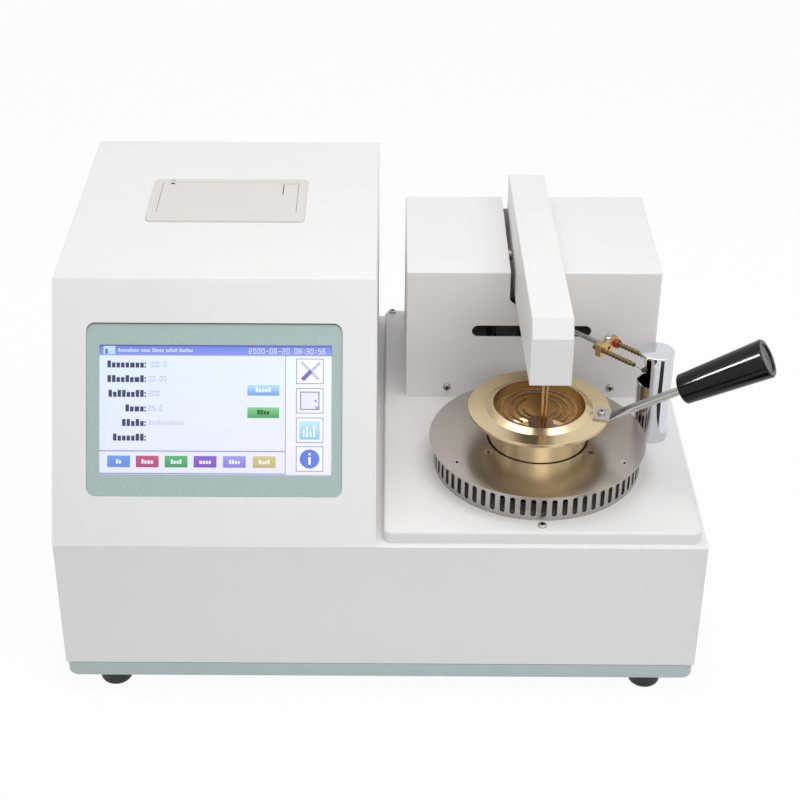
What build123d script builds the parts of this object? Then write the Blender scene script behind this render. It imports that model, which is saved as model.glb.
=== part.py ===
from build123d import *
import math
import os

os.makedirs("parts", exist_ok=True)

# All sizes are millimetres. X runs to the right along the front, Y towards the back and Z up.
# Z = 0 is the bench under the feet; X = Y = 0 is the middle of the body.

# Body
BODY_W = 436.0
BODY_D = 318.0
SHEET = 1.5
FOOT_H = 13.0
FOOT_R = 11.0
FOOT_IN_X = 32.0
FOOT_IN_Y = 15.0
FOOT_X = BODY_W / 2 - FOOT_IN_X
FOOT_Y = BODY_D / 2 - FOOT_IN_Y
BASE_LOW = FOOT_H
BASE_H = 11.6
BASE_TOP = BASE_LOW + BASE_H
SEAM = 0.8
SHELL_LOW = BASE_TOP + SEAM
DECK = 125.0
CONSOLE_TOP = 278.0
CONSOLE_W = 215.0
LEAN = 90.7
LEFT = -BODY_W / 2
RIGHT = BODY_W / 2
FRONT = -BODY_D / 2
BACK = BODY_D / 2
REAR_PANEL_T = 1.2
SHELL_BACK = BACK - REAR_PANEL_T
CONSOLE_R = LEFT + CONSOLE_W

# Deck plate and mechanism housing
CONSOLE_GAP = 5.0
SIDE_GAP = 4.0
FRONT_GAP = 5.0
BACK_GAP = 7.0
PLATE_H = 9.0
PLATE_L = CONSOLE_R + CONSOLE_GAP
PLATE_R = RIGHT - SIDE_GAP
PLATE_F = FRONT + FRONT_GAP
PLATE_B = BACK - BACK_GAP
PLATE_TOP = DECK + PLATE_H
MECH_X = (PLATE_L + PLATE_R) / 2 + 1.0
MECH_W = 183.0
MECH_D = 127.5
MECH_H = 104.3
MECH_BACK_GAP = 6.5
MECH_B = PLATE_B - MECH_BACK_GAP
MECH_F = MECH_B - MECH_D
MECH_TOP = PLATE_TOP + MECH_H
MECH_L = MECH_X - MECH_W / 2
MECH_R = MECH_X + MECH_W / 2
BASE_SHEET = 1.5
MECH_FLOOR = PLATE_TOP + BASE_SHEET
WIRE_X = MECH_L + 22.5
WIRE_Y = MECH_F + 42.0
WIRE_R = 10.0

# Test cup, set on the heater
CUP_AHEAD = 86.0
CUP_X = MECH_X
CUP_Y = MECH_F - CUP_AHEAD
CUP_FLANGE_TOP = PLATE_TOP + 45.1
CUP_LIP = 2.8
CUP_RIM = CUP_FLANGE_TOP + CUP_LIP
CUP_BORE_R = 31.8
CUP_BODY_R = 34.3
CUP_FLANGE_R = 49.0
CUP_FLANGE_T = 2.2
CUP_DEPTH = 33.5
CUP_FLOOR_T = 3.0
CUP_BOTTOM = CUP_RIM - CUP_DEPTH - CUP_FLOOR_T
FILL_DROP = 9.5
COVER_R = 75.4
COVER_TOP = PLATE_TOP + 20.7
COVER_T = 1.5
RING_R = 72.1
RING_T = 1.2
SLOTS = 64
SLOT_W = 3.6
SLOT_LOW = PLATE_TOP + 3.4
SLOT_HIGH = PLATE_TOP + 16.5
BOARD_T = 4.0
BOARD_TOP = PLATE_TOP + BOARD_T

# Clearances
RUN = 0.05
FREE = 0.1
SEAT = 0.3


def box(x0, x1, y0, y1, z0, z1):
    return Pos((x0 + x1) / 2, (y0 + y1) / 2, (z0 + z1) / 2) * Box(x1 - x0, y1 - y0, z1 - z0)


def round_box(x0, x1, y0, y1, z0, z1, r):
    return fillet(box(x0, x1, y0, y1, z0, z1).edges().filter_by(Axis.Z), r)


def post(x, y, z0, z1, r):
    return Pos(x, y, (z0 + z1) / 2) * Cylinder(r, z1 - z0)


def bar_x(y, z, x0, x1, r):
    return Pos((x0 + x1) / 2, y, z) * Rot(0, 90, 0) * Cylinder(r, x1 - x0)


def bar_y(x, z, y0, y1, r):
    return Pos(x, (y0 + y1) / 2, z) * Rot(90, 0, 0) * Cylinder(r, y1 - y0)


def bar(p, q, r):
    start = Vector(*p)
    run = Vector(*q) - start
    return Plane(origin=start, z_dir=run) * (Pos(0, 0, run.length / 2) * Cylinder(r, run.length))


def side_prism(points, x0, x1):
    return extrude(Plane.YZ.offset(x0) * Polygon(*points, align=None), amount=x1 - x0, dir=(1, 0, 0))


def polar(cx, cy, r, deg):
    a = math.radians(deg)
    return cx + r * math.cos(a), cy + r * math.sin(a)


nodes = {}


def save(name, shape):
    nodes[name] = shape


# --- Feet and base tray

foot_places = []
for sx in (-1, 1):
    for sy in (-1, 1):
        foot_places.append((sx * FOOT_X, sy * FOOT_Y))
foot_names = ["foot_front_left", "foot_rear_left", "foot_front_right", "foot_rear_right"]
FOOT_SINK = 5.0
FOOT_SCREW_R = 2.0
foot_screws = []
for name, (x, y) in zip(foot_names, foot_places):
    foot = post(x, y, 0, FOOT_H, FOOT_R)
    foot = fillet(foot.edges().sort_by(Axis.Z)[0], 3.5)
    foot = foot - post(x, y, 0, FOOT_SINK, 4.6)
    foot = foot - post(x, y, 0, FOOT_H, FOOT_SCREW_R + FREE)
    save(name, foot)
    head = post(x, y, FOOT_SINK - 2.6, FOOT_SINK, 4.0)
    slot = box(x - 4, x + 4, y - 0.5, y + 0.5, FOOT_SINK - 2.6, FOOT_SINK - 1.8)
    foot_screws.append(head + post(x, y, FOOT_SINK, 22.0, FOOT_SCREW_R) - slot)
save("foot_screws", foot_screws)

TRAY_EDGE = 0.4
TRAY_T = 2.0
tray = round_box(LEFT + TRAY_EDGE, RIGHT - TRAY_EDGE, FRONT + TRAY_EDGE, BACK - TRAY_EDGE, BASE_LOW, BASE_TOP, 8)
tray = fillet(tray.edges().group_by(Axis.Z)[0], 1.2)
step = round_box(LEFT + 1.0, RIGHT - 1.0, FRONT + 1.0, SHELL_BACK - 1.0, BASE_TOP - 1, SHELL_LOW, 1.5)
hollow = round_box(LEFT + 3.4, RIGHT - 3.4, FRONT + 3.4, BACK - 3.4, BASE_LOW - 1, SHELL_LOW - TRAY_T, 5)
tray = tray + step - hollow
for x, y in foot_places:
    tray = tray + post(x, y, BASE_LOW, SHELL_LOW - TRAY_T, 9.0)
for x, y in foot_places:
    tray = tray - post(x, y, BASE_LOW - 1, SHELL_LOW + 1, FOOT_SCREW_R + RUN)
VENTS = 9
for i in range(VENTS):
    x = 40 + 16 * i
    tray = tray - round_box(x - 2, x + 2, -30, 30, BASE_LOW, SHELL_LOW + 1, 1.9)
save("base_plate", tray)

# --- Body shell: lower body and leaned console in one folded sheet

console = side_prism([(FRONT, SHELL_LOW), (FRONT, DECK), (FRONT + LEAN, CONSOLE_TOP),
                      (SHELL_BACK, CONSOLE_TOP), (SHELL_BACK, SHELL_LOW)], LEFT, CONSOLE_R)
lower = box(LEFT, RIGHT, FRONT, SHELL_BACK, SHELL_LOW, DECK)
outer = console + lower
corner_edges = [e for e in outer.edges().filter_by(Axis.Z) if e.center().Z < DECK]
outer = fillet(corner_edges, 1.6)
top_edges = [e for e in outer.edges() if e.center().Z > CONSOLE_TOP - 0.1]
outer = fillet(top_edges, 1.4)

rise = CONSOLE_TOP - DECK
face_len = math.hypot(LEAN, rise)
slope = LEAN / rise


def lean_y(z, inset):
    return FRONT + (z - DECK) * slope + inset * face_len / rise


knee = DECK - SHEET * (face_len / rise - 1) / slope
hollow = side_prism([(FRONT + SHEET, SHELL_LOW - 1), (FRONT + SHEET, knee),
                     (lean_y(CONSOLE_TOP - SHEET, SHEET), CONSOLE_TOP - SHEET),
                     (SHELL_BACK - SHEET, CONSOLE_TOP - SHEET), (SHELL_BACK - SHEET, SHELL_LOW - 1)],
                    LEFT + SHEET, CONSOLE_R - SHEET)
hollow = hollow + box(LEFT + SHEET, RIGHT - SHEET, FRONT + SHEET, SHELL_BACK - SHEET, SHELL_LOW - 1, DECK - SHEET)
shell = outer - hollow

# Display opening in the leaned face
face_plane = Plane(origin=(0, FRONT, DECK), x_dir=(1, 0, 0), z_dir=(0, -rise, LEAN))
BEZEL_X = (LEFT + CONSOLE_R) / 2 - 0.1
BEZEL_W = 170.0
BEZEL_S = face_len / 2 + 1.67
BEZEL_H = 115.2
BEZEL_CORNER = 6.0


def on_face(x, s, n, shape):
    return face_plane * Pos(x, s, n) * shape


def face_block(x, s, w, h, n0, n1, r):
    block = Box(w, h, n1 - n0)
    if r:
        block = fillet(block.edges().filter_by(Axis.Z), r)
    return face_plane * Pos(x, s, (n0 + n1) / 2) * block


shell = shell - face_block(BEZEL_X, BEZEL_S, BEZEL_W, BEZEL_H, -4, 4, BEZEL_CORNER)

# Printer opening in the console top
PR_X = BEZEL_X - 0.05
PR_Y = (FRONT + LEAN + BACK) / 2 + 4.25
PR_W = 111.9
PR_D = 68.7
WELL_W = 99.2
WELL_D = 60.0
WELL_WALL = 1.5
WELL_OW = WELL_W + 2 * WELL_WALL
WELL_OD = WELL_D + 2 * WELL_WALL
shell = shell - box(PR_X - WELL_OW / 2 - SEAT, PR_X + WELL_OW / 2 + SEAT,
                    PR_Y - WELL_OD / 2 - SEAT, PR_Y + WELL_OD / 2 + SEAT, CONSOLE_TOP - 5, CONSOLE_TOP + 1)

# Rear panel opening, its screw holes, side vents and deck wiring holes
RP_IN = 8.0
RP_L = LEFT + RP_IN
RP_R = CONSOLE_R - RP_IN
RP_LOW = SHELL_LOW + 8.6
RP_HIGH = CONSOLE_TOP - RP_IN
RP_LIP = 9.0
shell = shell - box(RP_L + RP_LIP, RP_R - RP_LIP, SHELL_BACK - 3, SHELL_BACK + 1, RP_LOW + RP_LIP, RP_HIGH - RP_LIP)
panel_screws = []
for x in (RP_L + 4.5, (RP_L + RP_R) / 2, RP_R - 4.5):
    for z in (RP_LOW + 4.5, RP_HIGH - 4.5):
        panel_screws.append((x, z))
for x, z in panel_screws:
    shell = shell - bar_y(x, z, SHELL_BACK - 3, SHELL_BACK + 1, 1.5 + RUN)
VENT_L = 34.0
VENT_H = 3.4
for i in range(6):
    z = 50 + 9 * i
    for y in (-60, -10, 40):
        vent = box(RIGHT - 4, RIGHT + 1, y - VENT_L / 2, y + VENT_L / 2, z - VENT_H / 2, z + VENT_H / 2)
        shell = shell - vent
    for y in (20, 70, 120):
        vent = box(LEFT - 1, LEFT + 4, y - VENT_L / 2, y + VENT_L / 2, z - VENT_H / 2, z + VENT_H / 2)
        shell = shell - vent
plate_screws = [(CUP_X - 1.2, PLATE_F + 7.6), (PLATE_L + 5.8, PLATE_B - 4.2), (PLATE_R - 5.8, PLATE_B - 4.2)]
for x, y in plate_screws:
    shell = shell - post(x, y, DECK - 3, DECK + 1, 1.5 + RUN)
shell = shell - post(CUP_X, CUP_Y, DECK - 3, DECK + 1, 14)
shell = shell - post(WIRE_X, WIRE_Y, DECK - 3, DECK + 1, WIRE_R)
save("body_shell", shell)

# --- Rear panel with fan opening, inlet opening and louvres

FAN_X = (RP_L + RP_R) / 2 + 0.5
FAN_Z = RP_HIGH - 65.0
FAN_SIZE = 80.0
FAN_T = 25.0
FAN_BORE = 38.0
FAN_PITCH = 71.5
INLET_X = RP_L + 45.0
INLET_Z = RP_LOW + 50.0
INLET_W = 30.0
INLET_H = 58.0
panel = box(RP_L, RP_R, SHELL_BACK, BACK, RP_LOW, RP_HIGH)
panel = fillet(panel.edges().filter_by(Axis.Y), 3)
panel = panel - bar_y(FAN_X, FAN_Z, SHELL_BACK - 1, BACK + 1, FAN_BORE)
panel = panel - box(INLET_X - 13.7, INLET_X + 13.7, SHELL_BACK - 1, BACK + 1, INLET_Z - 27.2, INLET_Z + 27.2)
for x, z in panel_screws:
    panel = panel - bar_y(x, z, SHELL_BACK - 1, BACK + 1, 1.5 + FREE)
fan_corners = []
for sx in (-1, 1):
    for sz in (-1, 1):
        fan_corners.append((FAN_X + sx * FAN_PITCH / 2, FAN_Z + sz * FAN_PITCH / 2))
for x, z in fan_corners:
    panel = panel - bar_y(x, z, SHELL_BACK - 1, BACK + 1, 2.0 + FREE)
for i in range(7):
    z = RP_LOW + 26 + 10 * i
    panel = panel - box(RP_R - 99, RP_R - 19, SHELL_BACK - 1, BACK + 1, z - 1.7, z + 1.7)
save("rear_panel", panel)

screws = []
for x, z in panel_screws:
    head = fillet(bar_y(x, z, BACK, BACK + 2.0, 2.8).edges().sort_by(Axis.Y)[-1], 0.9)
    cross = box(x - 1.6, x + 1.6, BACK + 1.2, BACK + 2.1, z - 0.3, z + 0.3)
    cross = cross + box(x - 0.3, x + 0.3, BACK + 1.2, BACK + 2.1, z - 1.6, z + 1.6)
    screws.append(head + bar_y(x, z, SHELL_BACK - 3.5, BACK, 1.5) - cross)
save("rear_panel_screws", screws)

# Cooling fan: frame with spider and stub axle, bladed rotor, wire guard and its screws
fan_back = SHELL_BACK
fan_front = fan_back - FAN_T
frame = box(FAN_X - FAN_SIZE / 2, FAN_X + FAN_SIZE / 2, fan_front, fan_back,
            FAN_Z - FAN_SIZE / 2, FAN_Z + FAN_SIZE / 2)
frame = fillet(frame.edges().filter_by(Axis.Y), 5)
frame = frame - bar_y(FAN_X, FAN_Z, fan_front - 1, fan_back + 1, FAN_BORE)
for x, z in fan_corners:
    frame = frame - bar_y(x, z, fan_front - 1, fan_back + 1, 2.0 + RUN)
frame = frame + bar_y(FAN_X, FAN_Z, fan_front, fan_front + 2, 17)
for deg in (45, 135, 225, 315):
    arm = Pos(28, 0, 0) * Box(24, 2, 4)
    frame = frame + Pos(FAN_X, fan_front + 1, FAN_Z) * Rot(0, deg, 0) * arm
frame = frame + bar_y(FAN_X, FAN_Z, fan_front, fan_front + 16, 3)
save("fan_frame", frame)

rotor = bar_y(FAN_X, FAN_Z, fan_front + 3, fan_front + 22, 17)
rotor = fillet(rotor.edges().sort_by(Axis.Y)[-1], 2)
for k in range(7):
    blade = Pos(26, 0, 0) * Rot(35, 0, 0) * Box(20.5, 1.6, 20)
    rotor = rotor + Pos(FAN_X, fan_front + 12.5, FAN_Z) * Rot(0, k * 360 / 7, 0) * blade
rotor = rotor & bar_y(FAN_X, FAN_Z, fan_front + 3, fan_front + 23, FAN_BORE - 1.4)
rotor = rotor - bar_y(FAN_X, FAN_Z, fan_front + 2, fan_front + 16.5, 3 + RUN)
save("fan_rotor", rotor)

GUARD_T = 1.6
guard_sketch = Circle(9.5)
for r in (15, 22, 29, 36):
    guard_sketch = guard_sketch + (Circle(r + 0.9) - Circle(r - 0.9))
reach = FAN_PITCH / math.sqrt(2)
for deg in (45, 135, 225, 315):
    guard_sketch = guard_sketch + Rot(0, 0, deg) * Pos(reach / 2 + 2, 0) * Rectangle(reach - 4, 1.8)
    guard_sketch = guard_sketch + Rot(0, 0, deg) * Pos(reach, 0) * Circle(4.2)
for deg in (45, 135, 225, 315):
    guard_sketch = guard_sketch - Rot(0, 0, deg) * Pos(reach, 0) * Circle(2.0 + FREE)
guard_plane = Plane(origin=(FAN_X, BACK, FAN_Z), x_dir=(-1, 0, 0), z_dir=(0, 1, 0))
guard = extrude(guard_plane * guard_sketch, amount=GUARD_T)
save("fan_guard", guard)

screws = []
eye_top = BACK + GUARD_T
for x, z in fan_corners:
    head = fillet(bar_y(x, z, eye_top, eye_top + 2.2, 3.6).edges().sort_by(Axis.Y)[-1], 1.0)
    groove = box(x - 3.6, x + 3.6, eye_top + 1.5, eye_top + 2.3, z - 0.4, z + 0.4)
    screws.append(head + bar_y(x, z, fan_back - 12, eye_top, 2.0) - groove)
save("fan_screws", screws)

# Mains inlet with rocker switch above it
MODULE_DEEP = 26.0
ROCK_Z = INLET_Z + 15.0
ROCK_W = 13.0
ROCK_H = 21.4
inlet = box(INLET_X - INLET_W / 2, INLET_X + INLET_W / 2, BACK, BACK + 2, INLET_Z - INLET_H / 2, INLET_Z + INLET_H / 2)
inlet = fillet(inlet.edges().filter_by(Axis.Y), 3)
inlet = inlet + box(INLET_X - 13.5, INLET_X + 13.5, BACK - MODULE_DEEP, BACK, INLET_Z - 27, INLET_Z + 27)
socket = box(INLET_X - 12, INLET_X + 12, BACK - 15, BACK + 3, INLET_Z - 23, INLET_Z - 7)
socket = chamfer(socket.edges().filter_by(Axis.Y).sort_by(Axis.Z)[0:2], 4)
inlet = inlet - socket
for dx, dz in ((-7, -17), (0, -13), (7, -17)):
    inlet = inlet + box(INLET_X + dx - 1, INLET_X + dx + 1, BACK - 16, BACK - 1, INLET_Z + dz - 2, INLET_Z + dz + 2)
inlet = inlet - box(INLET_X - ROCK_W / 2, INLET_X + ROCK_W / 2, BACK - 14, BACK + 3,
                    ROCK_Z - ROCK_H / 2, ROCK_Z + ROCK_H / 2)
ROCK_Y = BACK - 2.5
ROCK_PIN = 1.5
inlet = inlet - bar_x(ROCK_Y, ROCK_Z, INLET_X - ROCK_W / 2 - 2, INLET_X + ROCK_W / 2 + 2, ROCK_PIN + RUN)
save("power_inlet", inlet)

half = ROCK_H / 2 - 1.4
profile = [(ROCK_Y - 4, ROCK_Z - 5), (ROCK_Y - 4, ROCK_Z + 5), (ROCK_Y + 1.5, ROCK_Z + half),
           (ROCK_Y + 3.2, ROCK_Z + half), (ROCK_Y + 4.6, ROCK_Z), (ROCK_Y + 6.6, ROCK_Z - half + 0.6),
           (ROCK_Y + 4.2, ROCK_Z - half)]
rocker = side_prism(profile, INLET_X - ROCK_W / 2 + 0.3, INLET_X + ROCK_W / 2 - 0.3)
rocker = rocker + bar_x(ROCK_Y, ROCK_Z, INLET_X - ROCK_W / 2 - 1.8, INLET_X + ROCK_W / 2 + 1.8, ROCK_PIN)
save("power_rocker", rocker)

# Power supply on the tray
supply = box(LEFT + 22, LEFT + 120, -60, 62, SHELL_LOW, SHELL_LOW + 40)
supply = fillet(supply.edges().filter_by(Axis.Z), 2)
for i in range(8):
    y = -42 + 12 * i
    supply = supply - box(LEFT + 38, LEFT + 104, y - 2, y + 2, SHELL_LOW + 38.5, SHELL_LOW + 41)
save("power_supply", supply)

# --- Display: bezel, panel and control board

LCD_W = 154.3
LCD_H = 86.0
LCD_X = BEZEL_X + 0.8
LCD_S = BEZEL_S
BEZEL_SINK = 1.2
bezel = face_block(BEZEL_X, BEZEL_S, BEZEL_W - 2 * SEAT, BEZEL_H - 2 * SEAT, -SHEET - 0.5, -BEZEL_SINK, BEZEL_CORNER - SEAT)
bezel = bezel + face_block(BEZEL_X, BEZEL_S, BEZEL_W + 12, BEZEL_H + 12, -SHEET - 2.0, -SHEET, 8)
bezel = bezel - face_block(LCD_X, LCD_S, LCD_W, LCD_H, -8, 2, 0.8)
bezel_pegs = []
for sx in (-1, 1):
    for ss in (-1, 1):
        bezel_pegs.append((BEZEL_X + sx * 84, BEZEL_S + ss * 55))
for x, s in bezel_pegs:
    bezel = bezel + on_face(x, s, -SHEET - 2.0 - 6.0, Cylinder(3, 12))
save("display_bezel", bezel)

lcd = face_block(LCD_X, LCD_S, LCD_W + 5, LCD_H + 5, -SHEET - 2.0 - 5, -SHEET - 2.0, 0)
lcd = lcd + face_block(LCD_X, LCD_S, LCD_W - 1, LCD_H - 1, -SHEET - 2.0, -SHEET - 0.9, 0.8)
save("display_panel", lcd)

board_n = -SHEET - 2.0 - 12
board = face_block(BEZEL_X, BEZEL_S, 176, 118, board_n - 1.6, board_n, 2)
board = board + face_block(BEZEL_X - 40, BEZEL_S, 30, 30, board_n - 4.6, board_n - 1.6, 0)
board = board + face_block(BEZEL_X + 20, BEZEL_S + 20, 20, 14, board_n - 4.1, board_n - 1.6, 0)
board = board + face_block(BEZEL_X + 30, BEZEL_S - 40, 70, 10, board_n - 10, board_n - 1.6, 0)
save("control_board", board)

# --- Panel printer in the console top

PR_TOP = CONSOLE_TOP + 2.2
WELL_DEEP = 50.0
WELL_FLOOR = CONSOLE_TOP - WELL_DEEP
PAPER_W = 57.0
well_l = PR_X - WELL_W / 2
well_r = PR_X + WELL_W / 2
well_f = PR_Y - WELL_D / 2
well_b = PR_Y + WELL_D / 2
DOOR_HALF = WELL_W / 2 - SEAT
DOOR_F = PR_Y - 22.6
DOOR_B = DOOR_F + 50.0
frame = round_box(PR_X - PR_W / 2, PR_X + PR_W / 2, PR_Y - PR_D / 2, PR_Y + PR_D / 2, CONSOLE_TOP, PR_TOP, 4)
frame = fillet(frame.edges().group_by(Axis.Z)[-1], 1.0)
frame = frame + box(well_l - WELL_WALL, well_r + WELL_WALL, well_f - WELL_WALL, well_b + WELL_WALL,
                    WELL_FLOOR - WELL_WALL, CONSOLE_TOP)
frame = frame - box(well_l, well_r, well_f, well_b, WELL_FLOOR, CONSOLE_TOP)
frame = frame - box(well_l, well_r, DOOR_F - 0.2, DOOR_B + 0.3, CONSOLE_TOP - 1, PR_TOP + 1)
HINGE_R = 0.8
EDGE_R = 1.3
HINGE_Y = DOOR_F + EDGE_R
HINGE_Z = PR_TOP - EDGE_R
frame = frame - bar_x(HINGE_Y, HINGE_Z, well_l - 1.3, well_r + 1.3, HINGE_R + RUN)
ROLL_Y = PR_Y - 4.6
ROLL_Z = CONSOLE_TOP - 26.0
ROLL_R = 17.0
CORE_R = 6.0
PLATEN_Y = PR_Y + 21.4
PLATEN_Z = CONSOLE_TOP - 10.0
PLATEN_R = 5.0
frame = frame + bar_x(ROLL_Y, ROLL_Z, well_l - 1, well_r + 1, CORE_R - 0.5)
frame = frame - bar_x(PLATEN_Y, PLATEN_Z, well_l - 2, well_r + 2, 2 + RUN)
frame = frame - post(PR_X - 42.35, PR_Y + 31, CONSOLE_TOP + 0.6, PR_TOP + 1, 1.4)
save("printer_frame", frame)

door = box(PR_X - DOOR_HALF, PR_X + DOOR_HALF, DOOR_F, DOOR_B, PR_TOP - 2 * EDGE_R, PR_TOP)
door = fillet(door.edges().filter_by(Axis.X).group_by(Axis.Y)[0], EDGE_R - 0.01)
door = door + bar_x(HINGE_Y, HINGE_Z, PR_X - DOOR_HALF - 1.3, PR_X + DOOR_HALF + 1.3, HINGE_R)
TAB_FROM_EDGE = 10.65
tab_x = PR_X + DOOR_HALF - TAB_FROM_EDGE
door = door - box(tab_x - 0.3, tab_x + 0.3, DOOR_B - 20, DOOR_B - 1.5, PR_TOP - 5, PR_TOP + 1)
door = door - box(tab_x, tab_x + 9, DOOR_B - 2.1, DOOR_B - 1.5, PR_TOP - 5, PR_TOP + 1)
save("printer_door", door)

roll = bar_x(ROLL_Y, ROLL_Z, PR_X - PAPER_W / 2, PR_X + PAPER_W / 2, ROLL_R) - bar_x(ROLL_Y, ROLL_Z, PR_X - 30, PR_X + 30, CORE_R - 0.5 + RUN)
save("paper_roll", roll)
platen = bar_x(PLATEN_Y, PLATEN_Z, PR_X - PAPER_W / 2 - 1, PR_X + PAPER_W / 2 + 1, PLATEN_R)
platen = platen + bar_x(PLATEN_Y, PLATEN_Z, well_l - 1.4, well_r + 1.4, 2)
save("platen_roller", platen)

# --- Deck plate and its screws

PLATE_T = 1.5
plate = round_box(PLATE_L, PLATE_R, PLATE_F, PLATE_B, DECK, PLATE_TOP, 6)
plate = fillet(plate.edges().group_by(Axis.Z)[-1], 2.0)
plate = plate - round_box(PLATE_L + PLATE_T, PLATE_R - PLATE_T, PLATE_F + PLATE_T, PLATE_B - PLATE_T,
                          DECK - 1, PLATE_TOP - PLATE_T, 4.5)
for x, y in plate_screws:
    plate = plate - post(x, y, DECK, PLATE_TOP + 1, 1.5 + FREE)
plate = plate - post(CUP_X, CUP_Y, DECK, PLATE_TOP + 1, 14)
plate = plate - post(WIRE_X, WIRE_Y, DECK, PLATE_TOP + 1, WIRE_R)
save("deck_plate", plate)

screws = []
for x, y in plate_screws:
    head = fillet(post(x, y, PLATE_TOP, PLATE_TOP + 2.0, 2.9).edges().sort_by(Axis.Z)[-1], 1.0)
    cross = box(x - 1.7, x + 1.7, y - 0.3, y + 0.3, PLATE_TOP + 1.1, PLATE_TOP + 2.1)
    cross = cross + box(x - 0.3, x + 0.3, y - 1.7, y + 1.7, PLATE_TOP + 1.1, PLATE_TOP + 2.1)
    screws.append(head + post(x, y, DECK - 5, PLATE_TOP, 1.5) - cross)
save("deck_screws", screws)

# --- Mechanism housing

ARM_W = 27.0
ARM_SLOT = 34.0
ARM_SLOT_LOW = MECH_TOP - 26.3
SWEEP_Z = CUP_FLANGE_TOP + 10.9
SWEEP_L = 87.0
SWEEP_H = 9.5
cover = round_box(MECH_L, MECH_R, MECH_F, MECH_B, PLATE_TOP, MECH_TOP, 1.6)
cover = fillet(cover.edges().group_by(Axis.Z)[-1], 1.2)
cover = cover - box(MECH_L + SHEET, MECH_R - SHEET, MECH_F + SHEET, MECH_B - SHEET, PLATE_TOP - 1, MECH_TOP - SHEET)
front_cut = Plane(origin=(MECH_X, MECH_F, SWEEP_Z), x_dir=(1, 0, 0), z_dir=(0, -1, 0))
cover = cover - extrude(front_cut * SlotOverall(SWEEP_L, SWEEP_H), amount=4, both=True)
slot_box = box(MECH_X - ARM_SLOT / 2, MECH_X + ARM_SLOT / 2, MECH_F - 1, MECH_B + 1, ARM_SLOT_LOW, MECH_TOP + 1)
slot_box = fillet(slot_box.edges().filter_by(Axis.Y).sort_by(Axis.Z)[0:2], 6)
cover = cover - (slot_box & box(MECH_L, MECH_R, MECH_F - 2, MECH_B - 8, PLATE_TOP, MECH_TOP + 2))
cover = cover - box(MECH_X - ARM_SLOT / 2, MECH_X + ARM_SLOT / 2, MECH_B - 9, MECH_B + 1, MECH_TOP - 10, MECH_TOP + 1)
side_screws = []
for x in (MECH_X - 60.8, MECH_X + 60.3):
    for y, d in ((MECH_F, -1), (MECH_B, 1)):
        side_screws.append((x, y, d))
COVER_SCREW_Z = PLATE_TOP + 8.6
for x, y, d in side_screws:
    cover = cover - bar_y(x, COVER_SCREW_Z, y - 3, y + 3, 1.5 + FREE)
for i in range(6):
    z = PLATE_TOP + 31 + 8 * i
    for y in (MECH_F + 32, MECH_F + 92):
        cover = cover - box(MECH_R - 4, MECH_R + 1, y - 20, y + 20, z - 1.5, z + 1.5)
    cover = cover - box(MECH_X - 70, MECH_X - 24, MECH_B - 4, MECH_B + 1, z - 1.5, z + 1.5)
    cover = cover - box(MECH_X + 24, MECH_X + 70, MECH_B - 4, MECH_B + 1, z - 1.5, z + 1.5)
save("mechanism_cover", cover)

mech = box(MECH_L + SHEET + SEAT, MECH_R - SHEET - SEAT, MECH_F + SHEET, MECH_B - SHEET, PLATE_TOP, MECH_FLOOR)
mech = mech + box(MECH_L + 12, MECH_R - 12, MECH_F + SHEET, MECH_F + SHEET + 2, PLATE_TOP, PLATE_TOP + 16)
mech = mech + box(MECH_L + 12, MECH_R - 12, MECH_B - SHEET - 2, MECH_B - SHEET, PLATE_TOP, PLATE_TOP + 16)
mech = mech - post(WIRE_X, WIRE_Y, PLATE_TOP - 1, MECH_FLOOR + 1, WIRE_R)
for x, y, d in side_screws:
    mech = mech - bar_y(x, COVER_SCREW_Z, y - 6, y + 6, 1.5 + RUN)
save("mechanism_base", mech)

screws = []
for x, y, d in side_screws:
    face = y + d * 2.0
    head = bar_y(x, COVER_SCREW_Z, min(y, face), max(y, face), 2.9)
    outer_edge = head.edges().sort_by(Axis.Y)[-1 if d > 0 else 0]
    head = fillet(outer_edge, 0.9)
    tip = y - d * 5
    cut = y + d * 1.1
    end = y + d * 2.2
    cross = box(x - 1.7, x + 1.7, min(cut, end), max(cut, end), COVER_SCREW_Z - 0.3, COVER_SCREW_Z + 0.3)
    cross = cross + box(x - 0.3, x + 0.3, min(cut, end), max(cut, end), COVER_SCREW_Z - 1.7, COVER_SCREW_Z + 1.7)
    screws.append(head + bar_y(x, COVER_SCREW_Z, min(y, tip), max(y, tip), 1.5) - cross)
save("mechanism_screws", screws)

# --- Lifting arm: shaft in two brackets, sheet cover, probe block, probe and electrode

PIVOT_Y = MECH_F + 52.0
PIVOT_Z = MECH_TOP - 12.3
SHAFT_R = 4.0
BRACKET_T = 3.0
brackets = None
for x in (MECH_X - 29, MECH_X + 26, MECH_X - 43):
    plate = box(x, x + BRACKET_T, PIVOT_Y - 13, PIVOT_Y + 13, MECH_FLOOR, PIVOT_Z + 10)
    foot_side = -1 if x < MECH_X else 1
    x_in = x if foot_side < 0 else x + BRACKET_T
    lip = box(min(x_in, x_in + foot_side * 10), max(x_in, x_in + foot_side * 10), PIVOT_Y - 13, PIVOT_Y + 13,
              MECH_FLOOR, MECH_FLOOR + 3)
    plate = plate + lip
    brackets = plate if brackets is None else brackets + plate
brackets = brackets - bar_x(PIVOT_Y, PIVOT_Z, MECH_X - 30, MECH_X + 30, SHAFT_R + RUN)
brackets = brackets - bar_x(PIVOT_Y, PIVOT_Z, MECH_X - 49, MECH_X - 37, 5 + RUN)
save("arm_brackets", brackets)

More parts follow.
